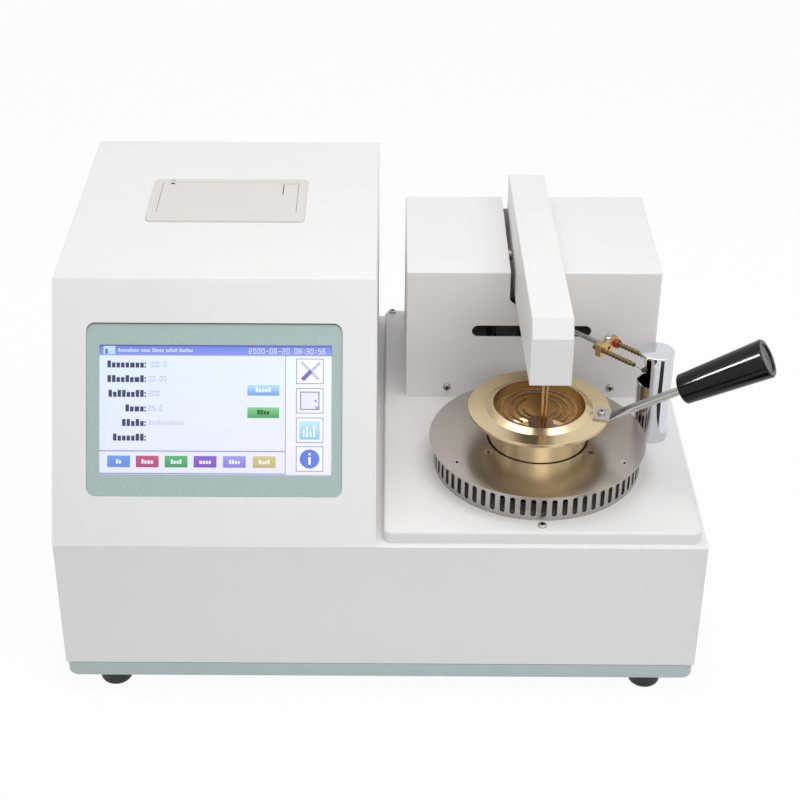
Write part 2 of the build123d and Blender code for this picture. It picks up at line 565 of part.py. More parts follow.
MOTOR_R = 10.0
motor_face = MECH_X - 43
motor = bar_x(PIVOT_Y, PIVOT_Z, motor_face - 42, motor_face, MOTOR_R)
motor = motor + bar_x(PIVOT_Y, PIVOT_Z, motor_face, motor_face + 4, 5)
motor = fillet(motor.edges().sort_by(Axis.X)[0], 1.5)
motor = motor - bar_x(PIVOT_Y, PIVOT_Z, motor_face - 6, motor_face + 5, 2 + RUN)
save("arm_motor", motor)

COLLAR_T = 4.0
shaft = bar_x(PIVOT_Y, PIVOT_Z, motor_face + 5, MECH_X + 33, SHAFT_R)
shaft = shaft + bar_x(PIVOT_Y, PIVOT_Z, motor_face + 5, motor_face + 13.5, 7)
shaft = shaft + bar_x(PIVOT_Y, PIVOT_Z, motor_face - 5, motor_face + 5, 2)
ARM_L = MECH_X - ARM_W / 2
ARM_R = MECH_X + ARM_W / 2
shaft = shaft + bar_x(PIVOT_Y, PIVOT_Z, ARM_L + SHEET, ARM_L + SHEET + COLLAR_T, 7.5)
shaft = shaft + bar_x(PIVOT_Y, PIVOT_Z, ARM_R - SHEET - COLLAR_T, ARM_R - SHEET, 7.5)
save("arm_shaft", shaft)

ARM_NOSE = CUP_Y - 63.3
ARM_TAIL = PIVOT_Y + 57.5
arm_side = [(ARM_NOSE, PIVOT_Z + 8.4), (ARM_NOSE, PIVOT_Z + 42.4), (ARM_NOSE + 7.7, PIVOT_Z + 54.1),
            (ARM_TAIL + 2.2, PIVOT_Z + 37.8), (ARM_TAIL, PIVOT_Z - 11.5), (MECH_F - 9.0, PIVOT_Z - 6.6)]
arm_face = Plane.YZ.offset(ARM_L) * Polygon(*arm_side, align=None)
arm = extrude(arm_face, amount=ARM_W, dir=(1, 0, 0))
arm = fillet([e for e in arm.edges() if e.center().Z > PIVOT_Z + 36 and abs(e.center().X - MECH_X) > 1], 0.8)
inner_face = Plane.YZ.offset(ARM_L + SHEET) * offset(Polygon(*arm_side, align=None), -SHEET, kind=Kind.INTERSECTION)
inner = extrude(inner_face, amount=ARM_W - 2 * SHEET, dir=(1, 0, 0))
inner = inner + Pos(0, 0, -7) * inner
arm = arm - inner
arm = arm - bar_x(PIVOT_Y, PIVOT_Z, ARM_L - 1, ARM_R + 1, SHAFT_R + RUN)
save("arm_cover", arm)

PROBE_Y = CUP_Y - 24.0
BLOCK_TOP = PIVOT_Z + 36.0
BLOCK_LOW = PIVOT_Z + 12.0
block = box(ARM_L + SHEET, ARM_R - SHEET, PROBE_Y - 10, PROBE_Y + 22, BLOCK_LOW, BLOCK_TOP)
PROBE_X = MECH_X - 0.25
STEM_X = MECH_X + 2.4
PROBE_R = 1.2
STEM_R = 0.85
block = block - post(PROBE_X, PROBE_Y, BLOCK_LOW - 1, BLOCK_TOP - 4, PROBE_R + 0.02)
block = block - post(STEM_X, PROBE_Y, BLOCK_LOW - 1, BLOCK_TOP - 4, STEM_R + 0.02)
save("probe_block", block)

ELECTRODE_Z = CUP_RIM - 4.6
ELECTRODE_T = 1.0
PROBE_TIP = ELECTRODE_Z - 9.3
probe = post(PROBE_X, PROBE_Y, PROBE_TIP, BLOCK_TOP - 4, PROBE_R)
probe = fillet(probe.edges().sort_by(Axis.Z)[0], 1.0)
save("temperature_probe", probe)
stem = post(STEM_X, PROBE_Y, ELECTRODE_Z + ELECTRODE_T / 2, BLOCK_TOP - 4, STEM_R)
save("electrode_stem", stem)


def arc_strip(r, width, a0, a1):
    sketch = Circle(r + width / 2) - Circle(r - width / 2)
    span = 80
    if a1 - a0 < 359.9:
        pts = [(0, 0)]
        steps = 12
        for i in range(steps + 1):
            a = math.radians(a0 + (a1 - a0) * i / steps)
            pts.append((span * math.cos(a), span * math.sin(a)))
        sketch = sketch & Polygon(*pts, align=None)
    return extrude(Pos(CUP_X, CUP_Y, ELECTRODE_Z - ELECTRODE_T / 2) * sketch, amount=ELECTRODE_T)


STRIP = 1.5
electrode = arc_strip(25.6, STRIP, 0, 360)
electrode = electrode + arc_strip(20.9, STRIP, -50, 234)
electrode = electrode + arc_strip(15.4, STRIP, 122, 238)
electrode = electrode + arc_strip(15.4, STRIP, -60, 60)
electrode = electrode + arc_strip(11.0, STRIP, 183, 357)
z_low = ELECTRODE_Z - ELECTRODE_T / 2
z_high = ELECTRODE_Z + ELECTRODE_T / 2
neck = extrude(Pos(CUP_X, CUP_Y, z_low) * Polygon((-8.6, -25.2), (9.4, -25.2), (7.9, -12.9), (5.5, -10.0),
                                                  (-5.5, -10.0), (-8.6, -13.0), align=None), amount=ELECTRODE_T)
electrode = electrode + neck
electrode = electrode + box(CUP_X - 1.8, CUP_X + 1.2, CUP_Y + 20.6, CUP_Y + 25.4, z_low, z_high)
electrode = electrode - post(PROBE_X, PROBE_Y, z_low - 1, z_high + 1, PROBE_R + 0.02)
electrode = electrode - post(STEM_X, PROBE_Y, ELECTRODE_Z + ELECTRODE_T / 2 - 0.001, z_high + 1, STEM_R + 0.02)
save("flash_electrode", electrode)

# --- Igniter: motor and bracket, hub, rod, clamp block, terminals and coil

IGN_X = MECH_X + 0.6
IGN_Y = MECH_F + 27.6
HUB_LOW = SWEEP_Z - 12.0
bracket_top = SWEEP_Z - 15.5
bracket = box(IGN_X - 25, IGN_X + 25, IGN_Y - 23, IGN_Y + 21, bracket_top - 2.5, bracket_top)
for x0, x1, lip0, lip1 in ((IGN_X - 25, IGN_X - 22.5, IGN_X - 25, IGN_X - 14),
                           (IGN_X + 22.5, IGN_X + 25, IGN_X + 14, IGN_X + 25)):
    bracket = bracket + box(x0, x1, IGN_Y - 23, IGN_Y + 21, MECH_FLOOR, bracket_top)
    bracket = bracket + box(lip0, lip1, IGN_Y - 23, IGN_Y + 21, MECH_FLOOR, MECH_FLOOR + 1.5)
bracket = bracket - post(IGN_X, IGN_Y, bracket_top - 4, bracket_top + 1, 8 + FREE)
save("igniter_bracket", bracket)

MOTOR_LOW = MECH_FLOOR + 4.5
PIN_R = 2.5
motor = round_box(IGN_X - 17.5, IGN_X + 17.5, IGN_Y - 17.5, IGN_Y + 17.5, MOTOR_LOW, bracket_top - 2.5, 3)
motor = motor + post(IGN_X, IGN_Y, bracket_top - 2.5, bracket_top + 1.0, 8)
motor = motor - post(IGN_X, IGN_Y, MOTOR_LOW + 8, bracket_top + 2, PIN_R + RUN)
save("igniter_motor", motor)

ROD_RISE = 1.5
ROD_AT = SWEEP_Z + ROD_RISE
hub = post(IGN_X, IGN_Y, HUB_LOW, ROD_AT + 5, 9)
hub = fillet(hub.edges().sort_by(Axis.Z)[-1], 1)
hub = hub + post(IGN_X, IGN_Y, MOTOR_LOW + 9, HUB_LOW, PIN_R)
IGN_ROD_R = 1.75
PARK = -45.0


def swing(a, p, z):
    c = math.cos(math.radians(PARK))
    s = math.sin(math.radians(PARK))
    return IGN_X + a * c - p * s, IGN_Y + a * s + p * c, z


def swing_box(a0, a1, p0, p1, z0, z1):
    return Pos(IGN_X, IGN_Y, 0) * Rot(0, 0, PARK) * box(a0, a1, p0, p1, z0, z1)


hub = hub - bar(swing(4, 0, ROD_AT), swing(12, 0, ROD_AT), IGN_ROD_R + 0.02)
hub = hub - swing_box(4, 5, -0.5, 0.5, ROD_AT, ROD_AT + 6)
save("igniter_hub", hub)

# The brass block sits to one side of the rod; its two insulated terminals reach on to the coil
BLOCK_A0 = 68.2
BLOCK_A1 = 73.2
BLOCK_P0 = -7.3
BLOCK_P1 = 13.3
BLOCK_H = 4.8
TERMS = (-4.3, 10.9)
SCREW_P = (TERMS[0] + TERMS[1]) / 2
ROD_IN = 3.5
rod = bar(swing(4, 0, ROD_AT), swing(BLOCK_A0 + ROD_IN, 0, ROD_AT), IGN_ROD_R)
save("igniter_rod", rod)

TERM_R = 1.5
TERM_END = 101.5
SLEEVE_R = 2.1
COLLAR_R = 3.3
COLLAR_L = 2.4
clamp = swing_box(BLOCK_A0, BLOCK_A1, BLOCK_P0, BLOCK_P1, SWEEP_Z - BLOCK_H, SWEEP_Z + BLOCK_H)
clamp = fillet(clamp.edges(), 0.5)
clamp = clamp - bar(swing(BLOCK_A0 - 1, 0, ROD_AT), swing(BLOCK_A0 + ROD_IN, 0, ROD_AT), IGN_ROD_R + 0.02)
for p in TERMS:
    clamp = clamp - bar(swing(BLOCK_A0 - 2, p, SWEEP_Z), swing(BLOCK_A1 + 2, p, SWEEP_Z), SLEEVE_R + 0.02)
sx, sy, sz = swing((BLOCK_A0 + BLOCK_A1) / 2 - 0.5, SCREW_P + 1, 0)
clamp = clamp - post(sx, sy, SWEEP_Z + 1, SWEEP_Z + 8, 1.0 + 0.02)
clamp = clamp - bar(swing(BLOCK_A1 - 2.5, SCREW_P - 0.6, SWEEP_Z - 0.6),
                    swing(BLOCK_A1 + 1, SCREW_P - 0.6, SWEEP_Z - 0.6), 1.5)
save("igniter_block", clamp)

screw_top = SWEEP_Z + BLOCK_H
head = fillet(post(sx, sy, screw_top, screw_top + 2.4, 2.5).edges().sort_by(Axis.Z)[-1], 1.1)
head = head - box(sx - 2.6, sx + 2.6, sy - 0.35, sy + 0.35, screw_top + 1.5, screw_top + 2.5)
save("igniter_screw", head + post(sx, sy, SWEEP_Z + 1.5, screw_top, 1.0))

sleeves = []
for p in TERMS:
    sleeve = bar(swing(BLOCK_A0 - 1.5, p, SWEEP_Z), swing(BLOCK_A1 + 0.2, p, SWEEP_Z), SLEEVE_R)
    if p == TERMS[1]:
        sleeve = sleeve + bar(swing(BLOCK_A1, p, SWEEP_Z), swing(BLOCK_A1 + COLLAR_L, p, SWEEP_Z), COLLAR_R)
    sleeve = sleeve - bar(swing(BLOCK_A0 - 3, p, SWEEP_Z), swing(BLOCK_A1 + COLLAR_L + 1, p, SWEEP_Z), TERM_R + 0.02)
    sleeves.append(sleeve)
save("igniter_sleeves", sleeves)

terminals = []
for p in TERMS:
    terminal = bar(swing(BLOCK_A0 - 3.5, p, SWEEP_Z), swing(TERM_END, p, SWEEP_Z), TERM_R)
    tip = bar(swing(TERM_END - 3, p, SWEEP_Z), swing(TERM_END + 1, p, SWEEP_Z), 0.27)
    terminals.append(terminal - tip)
save("igniter_terminals", terminals)

COIL_A = 107.7
COIL_P = -0.5
COIL_Z = SWEEP_Z - 3.0
COIL_R = 1.5
WIRE_HALF = 0.25
lead_ways = (((TERM_END + 1.0, TERMS[0], SWEEP_Z), (COIL_A, COIL_P - 1.9, COIL_Z)),
             ((TERM_END + 0.3, TERMS[1], SWEEP_Z), (TERM_END + 0.8, TERMS[1] - 4.6, SWEEP_Z),
              (COIL_A, COIL_P + 1.9, COIL_Z)))
wires = None
for p, way in zip(TERMS, lead_ways):
    stops = [swing(TERM_END - 2.5, p, SWEEP_Z)] + [swing(*at) for at in way] + [swing(COIL_A, COIL_P, COIL_Z)]
    for start, stop in zip(stops, stops[1:]):
        wire = bar(start, stop, WIRE_HALF)
        wires = wire if wires is None else wires + wire
    for at in stops[1:-1]:
        wires = wires + Pos(*at) * Sphere(WIRE_HALF)
for k in range(4):
    turn = Pos(*swing(COIL_A, COIL_P - 1.35 + 0.9 * k, COIL_Z)) * Rot(0, 0, PARK) * Rot(90, 0, 0) * Torus(COIL_R, 0.3)
    wires = wires + turn
spine = bar(swing(COIL_A, COIL_P - 1.9, COIL_Z), swing(COIL_A, COIL_P + 1.9, COIL_Z), COIL_R - 0.25)
save("igniter_coil", wires + spine)

# --- Parking shield for the igniter

SHIELD_X = IGN_X + 83.4
SHIELD_Y = IGN_Y - 78.2
SHIELD_R = 12.3
SHIELD_T = 1.0
SHIELD_TOP = PLATE_TOP + 69.7
CAP_T = 2.0
NOTCH_Z = SWEEP_Z - 10.6
NOTCH_X = SHIELD_X - 4.9
tube = post(SHIELD_X, SHIELD_Y, PLATE_TOP, SHIELD_TOP - CAP_T, SHIELD_R)
tube = tube - post(SHIELD_X, SHIELD_Y, PLATE_TOP + 2, SHIELD_TOP, SHIELD_R - SHIELD_T)
tube = tube - box(SHIELD_X - 20, NOTCH_X, SHIELD_Y - 20, SHIELD_Y + 20, NOTCH_Z, SHIELD_TOP)
RIVET_X = SHIELD_X - 1.8
RIVET_Z = SHIELD_TOP - 5.5
tube = tube - bar_y(RIVET_X, RIVET_Z, SHIELD_Y - 15, SHIELD_Y - 8, 1.0 + 0.02)
save("shield_tube", tube)
cap = post(SHIELD_X, SHIELD_Y, SHIELD_TOP - CAP_T, SHIELD_TOP, SHIELD_R + 0.1)
cap = fillet(cap.edges().sort_by(Axis.Z)[-1], 0.6)
cap = cap + post(SHIELD_X, SHIELD_Y, SHIELD_TOP - CAP_T - 2, SHIELD_TOP - CAP_T, SHIELD_R - SHIELD_T - 0.02)
cap = cap - box(SHIELD_X - 20, NOTCH_X, SHIELD_Y - 20, SHIELD_Y + 20, SHIELD_TOP - CAP_T - 4, SHIELD_TOP - CAP_T)
save("shield_cap", cap)
wall_y = SHIELD_Y - math.sqrt(SHIELD_R ** 2 - (SHIELD_X - RIVET_X) ** 2)
rivet = bar_y(RIVET_X, RIVET_Z, wall_y - 0.8, wall_y + 0.1, 1.7)
rivet = rivet + bar_y(RIVET_X, RIVET_Z, wall_y, wall_y + 2.0, 1.0)
rivet = rivet - post(SHIELD_X, SHIELD_Y, PLATE_TOP, SHIELD_TOP, SHIELD_R)
rivet = rivet + bar_y(RIVET_X, RIVET_Z, wall_y - 0.3, wall_y + 2.0, 1.0)
save("shield_rivet", rivet)

# --- Heater: board with posts, slotted ring, cover disk, hot plate

SCREW_DEG = (-30, -150, 90)
OUT_PCD = 66.0
IN_PCD = 40.6
cover_low = COVER_TOP - COVER_T
base = post(CUP_X, CUP_Y, PLATE_TOP, BOARD_TOP, 69.5)
holes = []
for deg in SCREW_DEG:
    for r in (OUT_PCD, IN_PCD):
        x, y = polar(CUP_X, CUP_Y, r, deg)
        holes.append((x, y))
        base = base + post(x, y, BOARD_TOP, cover_low, 3.4 if r == OUT_PCD else 3.2)
for x, y in holes:
    base = base - post(x, y, BOARD_TOP, cover_low + 1, 1.5 + RUN)
base = base - post(CUP_X, CUP_Y, PLATE_TOP - 1, BOARD_TOP + 1, 14)
save("heater_base", base)

ring = post(CUP_X, CUP_Y, PLATE_TOP, cover_low, RING_R) - post(CUP_X, CUP_Y, PLATE_TOP - 1, cover_low + 1, RING_R - RING_T)
cutters = []
for k in range(SLOTS):
    slot = box(RING_R - 4, RING_R + 2, -SLOT_W / 2, SLOT_W / 2, SLOT_LOW, SLOT_HIGH)
    slot = fillet(slot.edges().filter_by(Axis.X), SLOT_W / 2 - 0.1)
    cutters.append(Pos(CUP_X, CUP_Y, 0) * Rot(0, 0, -90 + 360 / SLOTS * k) * slot)
ring = ring - cutters
save("heater_ring", ring)

COVER_HOLE_R = CUP_BODY_R + 0.9
disk = post(CUP_X, CUP_Y, cover_low, COVER_TOP, COVER_R) - post(CUP_X, CUP_Y, cover_low - 1, COVER_TOP + 1, COVER_HOLE_R)
SINK = 1.2
for x, y in holes:
    disk = disk - post(x, y, cover_low - 1, COVER_TOP + 1, 1.5 + FREE)
    disk = disk - Pos(x, y, COVER_TOP - SINK / 2) * Cone(1.5 + FREE, 1.5 + FREE + SINK, SINK)
save("heater_cover", disk)
screws = []
for x, y in holes:
    head = Pos(x, y, COVER_TOP - SINK / 2) * Cone(1.5, 1.5 + SINK, SINK)
    cross = box(x - 1.6, x + 1.6, y - 0.3, y + 0.3, COVER_TOP - 0.8, COVER_TOP + 0.1)
    cross = cross + box(x - 0.3, x + 0.3, y - 1.6, y + 1.6, COVER_TOP - 0.8, COVER_TOP + 0.1)
    screws.append(head + post(x, y, COVER_TOP - 9, COVER_TOP - SINK, 1.5) - cross)
save("heater_screws", screws)

LINER_R = 58.0
LINER_T = 1.2
liner = post(CUP_X, CUP_Y, BOARD_TOP, cover_low, LINER_R) - post(CUP_X, CUP_Y, BOARD_TOP - 1, cover_low + 1, LINER_R - LINER_T)
save("heater_liner", liner)

HOT_R = CUP_BODY_R + 1.7
hot = post(CUP_X, CUP_Y, BOARD_TOP, CUP_BOTTOM, HOT_R)
hot = hot - (post(CUP_X, CUP_Y, CUP_BOTTOM - 1.5, CUP_BOTTOM + 1, 26) - post(CUP_X, CUP_Y, CUP_BOTTOM - 2, CUP_BOTTOM + 2, 20))
hot = hot - post(CUP_X, CUP_Y, BOARD_TOP - 1, CUP_BOTTOM + 1, 5)
save("heater_plate", hot)

# --- Brass cup with its handle

FLANGE_LOW = CUP_FLANGE_TOP - CUP_FLANGE_T
CONE_R = 37.2
LIP_FLAT = 0.6
cup_profile = [(0, CUP_BOTTOM), (CUP_BODY_R, CUP_BOTTOM), (CUP_BODY_R, FLANGE_LOW - 5.4), (CUP_BODY_R + 5.7, FLANGE_LOW),
               (CUP_FLANGE_R, FLANGE_LOW), (CUP_FLANGE_R, CUP_FLANGE_TOP), (CONE_R, CUP_FLANGE_TOP),
               (CUP_BORE_R + LIP_FLAT, CUP_RIM), (CUP_BORE_R, CUP_RIM),
               (CUP_BORE_R, CUP_RIM - FILL_DROP + 0.3), (CUP_BORE_R + 0.4, CUP_RIM - FILL_DROP + 0.3),
               (CUP_BORE_R + 0.4, CUP_RIM - FILL_DROP - 0.3), (CUP_BORE_R, CUP_RIM - FILL_DROP - 0.3),
               (CUP_BORE_R, CUP_BOTTOM + CUP_FLOOR_T + 2), (CUP_BORE_R - 2, CUP_BOTTOM + CUP_FLOOR_T),
               (0, CUP_BOTTOM + CUP_FLOOR_T)]
cup = revolve(Plane.XZ * Polygon(*cup_profile, align=None), Axis.Z)
cup = Pos(CUP_X, CUP_Y, 0) * cup
HANDLE_DEG = -14.0
STRAP_SCREW_R = 43.2


def along(r, t, z):
    a = math.radians(HANDLE_DEG)
    return CUP_X + r * math.cos(a) - t * math.sin(a), CUP_Y + r * math.sin(a) + t * math.cos(a), z


hx, hy, hz = along(STRAP_SCREW_R, 0, 0)
cup = cup - post(hx, hy, CUP_FLANGE_TOP - 3, CUP_FLANGE_TOP + 1, 1.5 + RUN)
save("test_cup", cup)

STRAP_T = 1.5
strap_top = CUP_FLANGE_TOP + STRAP_T
handle_turn = Pos(CUP_X, CUP_Y, 0) * Rot(0, 0, HANDLE_DEG)
STRAP_IN = 38.2
STRAP_OUT = 49.4
STRAP_HALF = 7.5
strap = handle_turn * round_box(STRAP_IN, STRAP_OUT, -STRAP_HALF, STRAP_HALF, CUP_FLANGE_TOP, strap_top, 1)
strap = strap - post(hx, hy, CUP_FLANGE_TOP - 1, strap_top + 1, 1.5 + FREE)
save("handle_strap", strap)
head = fillet(post(hx, hy, strap_top, strap_top + 1.9, 2.7).edges().sort_by(Axis.Z)[-1], 0.8)
cross = box(hx - 1.6, hx + 1.6, hy - 0.3, hy + 0.3, strap_top + 1.1, strap_top + 2)
cross = cross + box(hx - 0.3, hx + 0.3, hy - 1.6, hy + 1.6, strap_top + 1.1, strap_top + 2)
save("handle_screw", head + post(hx, hy, CUP_FLANGE_TOP - 2.0, strap_top, 1.5) - cross)

# The rod is a tube flattened at its inner end to the width of the strap
GRIP_NEAR = 95.8
GRIP_Z = CUP_FLANGE_TOP + 28.4
RISE_DEG = 31.5
GRIP_L = 62.0
ROD_R = 3.0
ROD_DEEP = 30.0
cr = math.cos(math.radians(RISE_DEG))
sr = math.sin(math.radians(RISE_DEG))


def on_rod(d):
    return GRIP_NEAR - d * cr, 0, GRIP_Z - d * sr


SWELL_AT = 36.0
ROUND_AT = 44.0
flat_end = Plane(origin=(STRAP_OUT, 0, CUP_FLANGE_TOP + STRAP_T / 2), x_dir=(0, 1, 0), z_dir=(1, 0, 0))
swell = Plane(origin=on_rod(ROUND_AT), x_dir=(0, 1, 0), z_dir=(cr, 0, sr))
round_end = Plane(origin=on_rod(SWELL_AT), x_dir=(0, 1, 0), z_dir=(cr, 0, sr))
rod = loft([flat_end * Ellipse(STRAP_HALF - 0.2, STRAP_T / 2), swell * Ellipse(ROD_R * 1.4, ROD_R * 0.8),
            round_end * Circle(ROD_R)])
rod = rod + bar(on_rod(SWELL_AT), on_rod(-ROD_DEEP), ROD_R)
rod = handle_turn * rod
save("handle_rod", rod)

grip_profile = [(0, 0), (9.4, 0), (10.5, 1.1), (13.45, GRIP_L - 1.0), (12.6, GRIP_L), (10.4, GRIP_L), (9.6, GRIP_L - 1.0),
                (0, GRIP_L - 1.4)]
grip = revolve(Plane.XZ * Polygon(*grip_profile, align=None), Axis.Z)
grip = grip - Pos(0, 0, ROD_DEEP / 2) * Cylinder(ROD_R + 0.02, ROD_DEEP)
grip = Plane(origin=(GRIP_NEAR, 0, GRIP_Z), z_dir=(cr, 0, sr)) * grip
grip = handle_turn * grip
save("handle_grip", grip)

# --- Row frame: the origin is the middle of the whole object's footprint, on the bench

centre_x = (LEFT + nodes["handle_grip"].bounding_box().max.X) / 2
centre_y = (FRONT + nodes["power_rocker"].bounding_box().max.Y) / 2
to_centre = Pos(-centre_x, -centre_y, 0)
for name, shape in nodes.items():
    if isinstance(shape, list):
        shape = Compound([to_centre * piece for piece in shape])
    else:
        shape = to_centre * shape
    export_step(shape, "parts/" + name + ".step")
print("centre", round(centre_x, 3), round(centre_y, 3))
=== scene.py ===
import math
import bmesh
import bpy
from mathutils import Matrix, Vector


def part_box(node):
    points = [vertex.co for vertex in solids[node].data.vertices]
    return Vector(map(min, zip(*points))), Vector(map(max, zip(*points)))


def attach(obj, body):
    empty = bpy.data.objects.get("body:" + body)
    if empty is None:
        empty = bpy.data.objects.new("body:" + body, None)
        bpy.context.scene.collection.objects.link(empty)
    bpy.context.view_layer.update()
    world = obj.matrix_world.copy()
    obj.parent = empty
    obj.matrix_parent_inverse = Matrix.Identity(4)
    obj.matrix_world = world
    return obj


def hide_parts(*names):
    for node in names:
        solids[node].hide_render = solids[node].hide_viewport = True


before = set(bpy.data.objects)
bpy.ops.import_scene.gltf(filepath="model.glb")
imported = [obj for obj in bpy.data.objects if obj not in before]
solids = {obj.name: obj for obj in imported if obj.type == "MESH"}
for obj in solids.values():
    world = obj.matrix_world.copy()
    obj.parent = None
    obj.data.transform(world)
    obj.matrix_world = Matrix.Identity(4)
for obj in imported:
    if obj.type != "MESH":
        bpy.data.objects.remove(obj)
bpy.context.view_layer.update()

# Camera: a person's view from the front of the bench, looking down on the deck.
# Places are millimetres from the middle of the body, with the bench at z = 0.

shell_low, shell_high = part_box("body_shell")
BODY_FRONT = -159.0
ORIGIN = Vector(((shell_low.x + shell_high.x) / 2, shell_low.y - BODY_FRONT / 1000, 0))


def at(x, y, z):
    return ORIGIN + Vector((x, y, z)) / 1000


def placed(name, data):
    """A new object of the scene."""
    piece = bpy.data.objects.new(name, data)
    bpy.context.scene.collection.objects.link(piece)
    return piece


VIEW_PLACE = (4.62, -1097.32, 819.3)
VIEW_TILT, VIEW_TURN, VIEW_ROLL = 57.97, 0.23, 0.17
lens = bpy.data.cameras.new("bench_camera")
lens.sensor_width = 36.0
lens.lens = 78.956
lens.shift_x = 0.02248
lens.shift_y = 0.01298
lens.clip_end = 20
camera = placed("bench_camera", lens)
turn = Matrix.Rotation(math.radians(VIEW_TURN), 4, "Z")
tilt = Matrix.Rotation(math.radians(VIEW_TILT), 4, "X")
roll = Matrix.Rotation(math.radians(VIEW_ROLL), 4, "Z")
camera.matrix_world = Matrix.Translation(at(*VIEW_PLACE)) @ turn @ tilt @ roll
bpy.context.scene.camera = camera
bpy.context.scene.view_settings.view_transform = "Standard"

# Studio: a pale floor and a white surround, seen as white by the lens and by bright metal only,
# four soft boxes above, and dark flags that draw the streaks on plated parts.


def rgb(code):
    """A screen colour as the linear one that materials take."""
    parts = [int(code[i:i + 2], 16) / 255 for i in (0, 2, 4)]
    return [p / 12.92 if p < 0.04045 else ((p + 0.055) / 1.055) ** 2.4 for p in parts] + [1.0]


def seen_share(tree, share):
    """1 where the lens, a glossy or a transmission ray looks, times share."""
    path = tree.nodes.new("ShaderNodeLightPath")
    seen = path.outputs["Is Camera Ray"]
    for ray in ("Is Glossy Ray", "Is Transmission Ray"):
        either = tree.nodes.new("ShaderNodeMath")
        either.operation = "MAXIMUM"
        tree.links.new(seen, either.inputs[0])
        tree.links.new(path.outputs[ray], either.inputs[1])
        seen = either.outputs[0]
    scaled = tree.nodes.new("ShaderNodeMath")
    scaled.operation = "MULTIPLY"
    scaled.inputs[1].default_value = share
    tree.links.new(seen, scaled.inputs[0])
    return scaled.outputs[0]


AMBIENT = 0.5
FLOOR_WHITE = 0.95  # the rest of the floor's colour is left to the shadow
world = bpy.data.worlds.new("studio")
world.use_nodes = True
bpy.context.scene.world = world
tree = world.node_tree
tree.nodes.clear()
around = tree.nodes.new("ShaderNodeBackground")
around.inputs["Strength"].default_value = AMBIENT
white = tree.nodes.new("ShaderNodeBackground")
white.inputs["Color"].default_value = (1, 1, 1, 1)
pick = tree.nodes.new("ShaderNodeMixShader")
out = tree.nodes.new("ShaderNodeOutputWorld")
tree.links.new(seen_share(tree, 1.0), pick.inputs[0])
tree.links.new(around.outputs[0], pick.inputs[1])
tree.links.new(white.outputs[0], pick.inputs[2])
tree.links.new(pick.outputs[0], out.inputs[0])

FLOOR_REACH = 40.0
mesh = bpy.data.meshes.new("bench_floor")
corners = [(x * FLOOR_REACH, y * FLOOR_REACH, 0) for x, y in ((-1, -1), (1, -1), (1, 1), (-1, 1))]
mesh.from_pydata(corners, [], [(0, 1, 2, 3)])
floor = placed("bench_floor", mesh)
material = bpy.data.materials.new("pale_floor")
material.use_nodes = True
tree = material.node_tree
tree.nodes.clear()
matt = tree.nodes.new("ShaderNodeBsdfDiffuse")
matt.inputs["Color"].default_value = (0.9, 0.9, 0.9, 1)
glow = tree.nodes.new("ShaderNodeEmission")
pick = tree.nodes.new("ShaderNodeMixShader")
out = tree.nodes.new("ShaderNodeOutputMaterial")
tree.links.new(seen_share(tree, FLOOR_WHITE), pick.inputs[0])
tree.links.new(matt.outputs[0], pick.inputs[1])
tree.links.new(glow.outputs[0], pick.inputs[2])
tree.links.new(pick.outputs[0], out.inputs[0])
mesh.materials.append(material)

# The soft boxes: name, place, what it looks at, width and height in metres, watts
SOFT_BOXES = [
    ("overhead_box", (-60, -60, 1500), (0, 0, 120), 1.3, 1.1, 9.0),
    ("front_box", (300, -1500, 960), (0, 0, 130), 0.75, 0.55, 3.0),
    ("left_box", (-1300, -200, 700), (0, 0, 150), 0.5, 1.2, 1.4),
    ("deck_box", (620, -420, 1050), (120, -70, 130), 0.7, 0.7, 2.6),
]
for name, place, aim, width, height, watts in SOFT_BOXES:
    light = bpy.data.lights.new(name, "AREA")
    light.shape = "RECTANGLE"
    light.size, light.size_y, light.energy = width, height, watts
    lamp = placed(name, light)
    aiming = (at(*aim) - at(*place)).to_track_quat("-Z", "Y")
    lamp.matrix_world = Matrix.Translation(at(*place)) @ aiming.to_matrix().to_4x4()

# The flags: cards that only bright metal sees
flag_black = bpy.data.materials.new("flag_black")
flag_black.use_nodes = True
shader = flag_black.node_tree.nodes["Principled BSDF"]
shader.inputs["Base Color"].default_value = (0.01, 0.01, 0.01, 1)
shader.inputs["Roughness"].default_value = 1.0
# Name, place, width and height in metres, degrees it is turned, whether it stands
FLAGS = [
    ("flag_beside", (335, -258, 3), 0.21, 0.15, -50, False),
    ("flag_before", (60, -420, 3), 0.2, 0.14, 0, False),
    ("flag_left", (-760, -640, 420), 0.6, 1.3, 50, True),
]
for name, place, width, height, facing, upright in FLAGS:
    mesh = bpy.data.meshes.new(name)
    w, h = width / 2, height / 2
    mesh.from_pydata([(-w, -h, 0), (w, -h, 0), (w, h, 0), (-w, h, 0)], [], [(0, 1, 2, 3)])
    stand = Matrix.Rotation(math.pi / 2, 4, "X") if upright else Matrix.Identity(4)
    turn = Matrix.Rotation(math.radians(facing), 4, "Z")
    mesh.transform(Matrix.Translation(at(*place)) @ turn @ stand)
    mesh.materials.append(flag_black)
    card = placed(name, mesh)
    card.visible_camera = card.visible_diffuse = False
    card.visible_shadow = card.visible_transmission = False

# Feet, tray and the screws below: turned rubber feet, screwed on from below, under a pressed
# steel tray in grey-green paint that carries the body.


def finish_material(name, colour, metallic=0.0, roughness=0.5):
    material = bpy.data.materials.new(name)
    material.use_nodes = True
    shader = material.node_tree.nodes["Principled BSDF"]
    shader.inputs["Base Color"].default_value = rgb(colour)
    shader.inputs["Metallic"].default_value = metallic
    shader.inputs["Roughness"].default_value = roughness
    return material, material.node_tree, shader


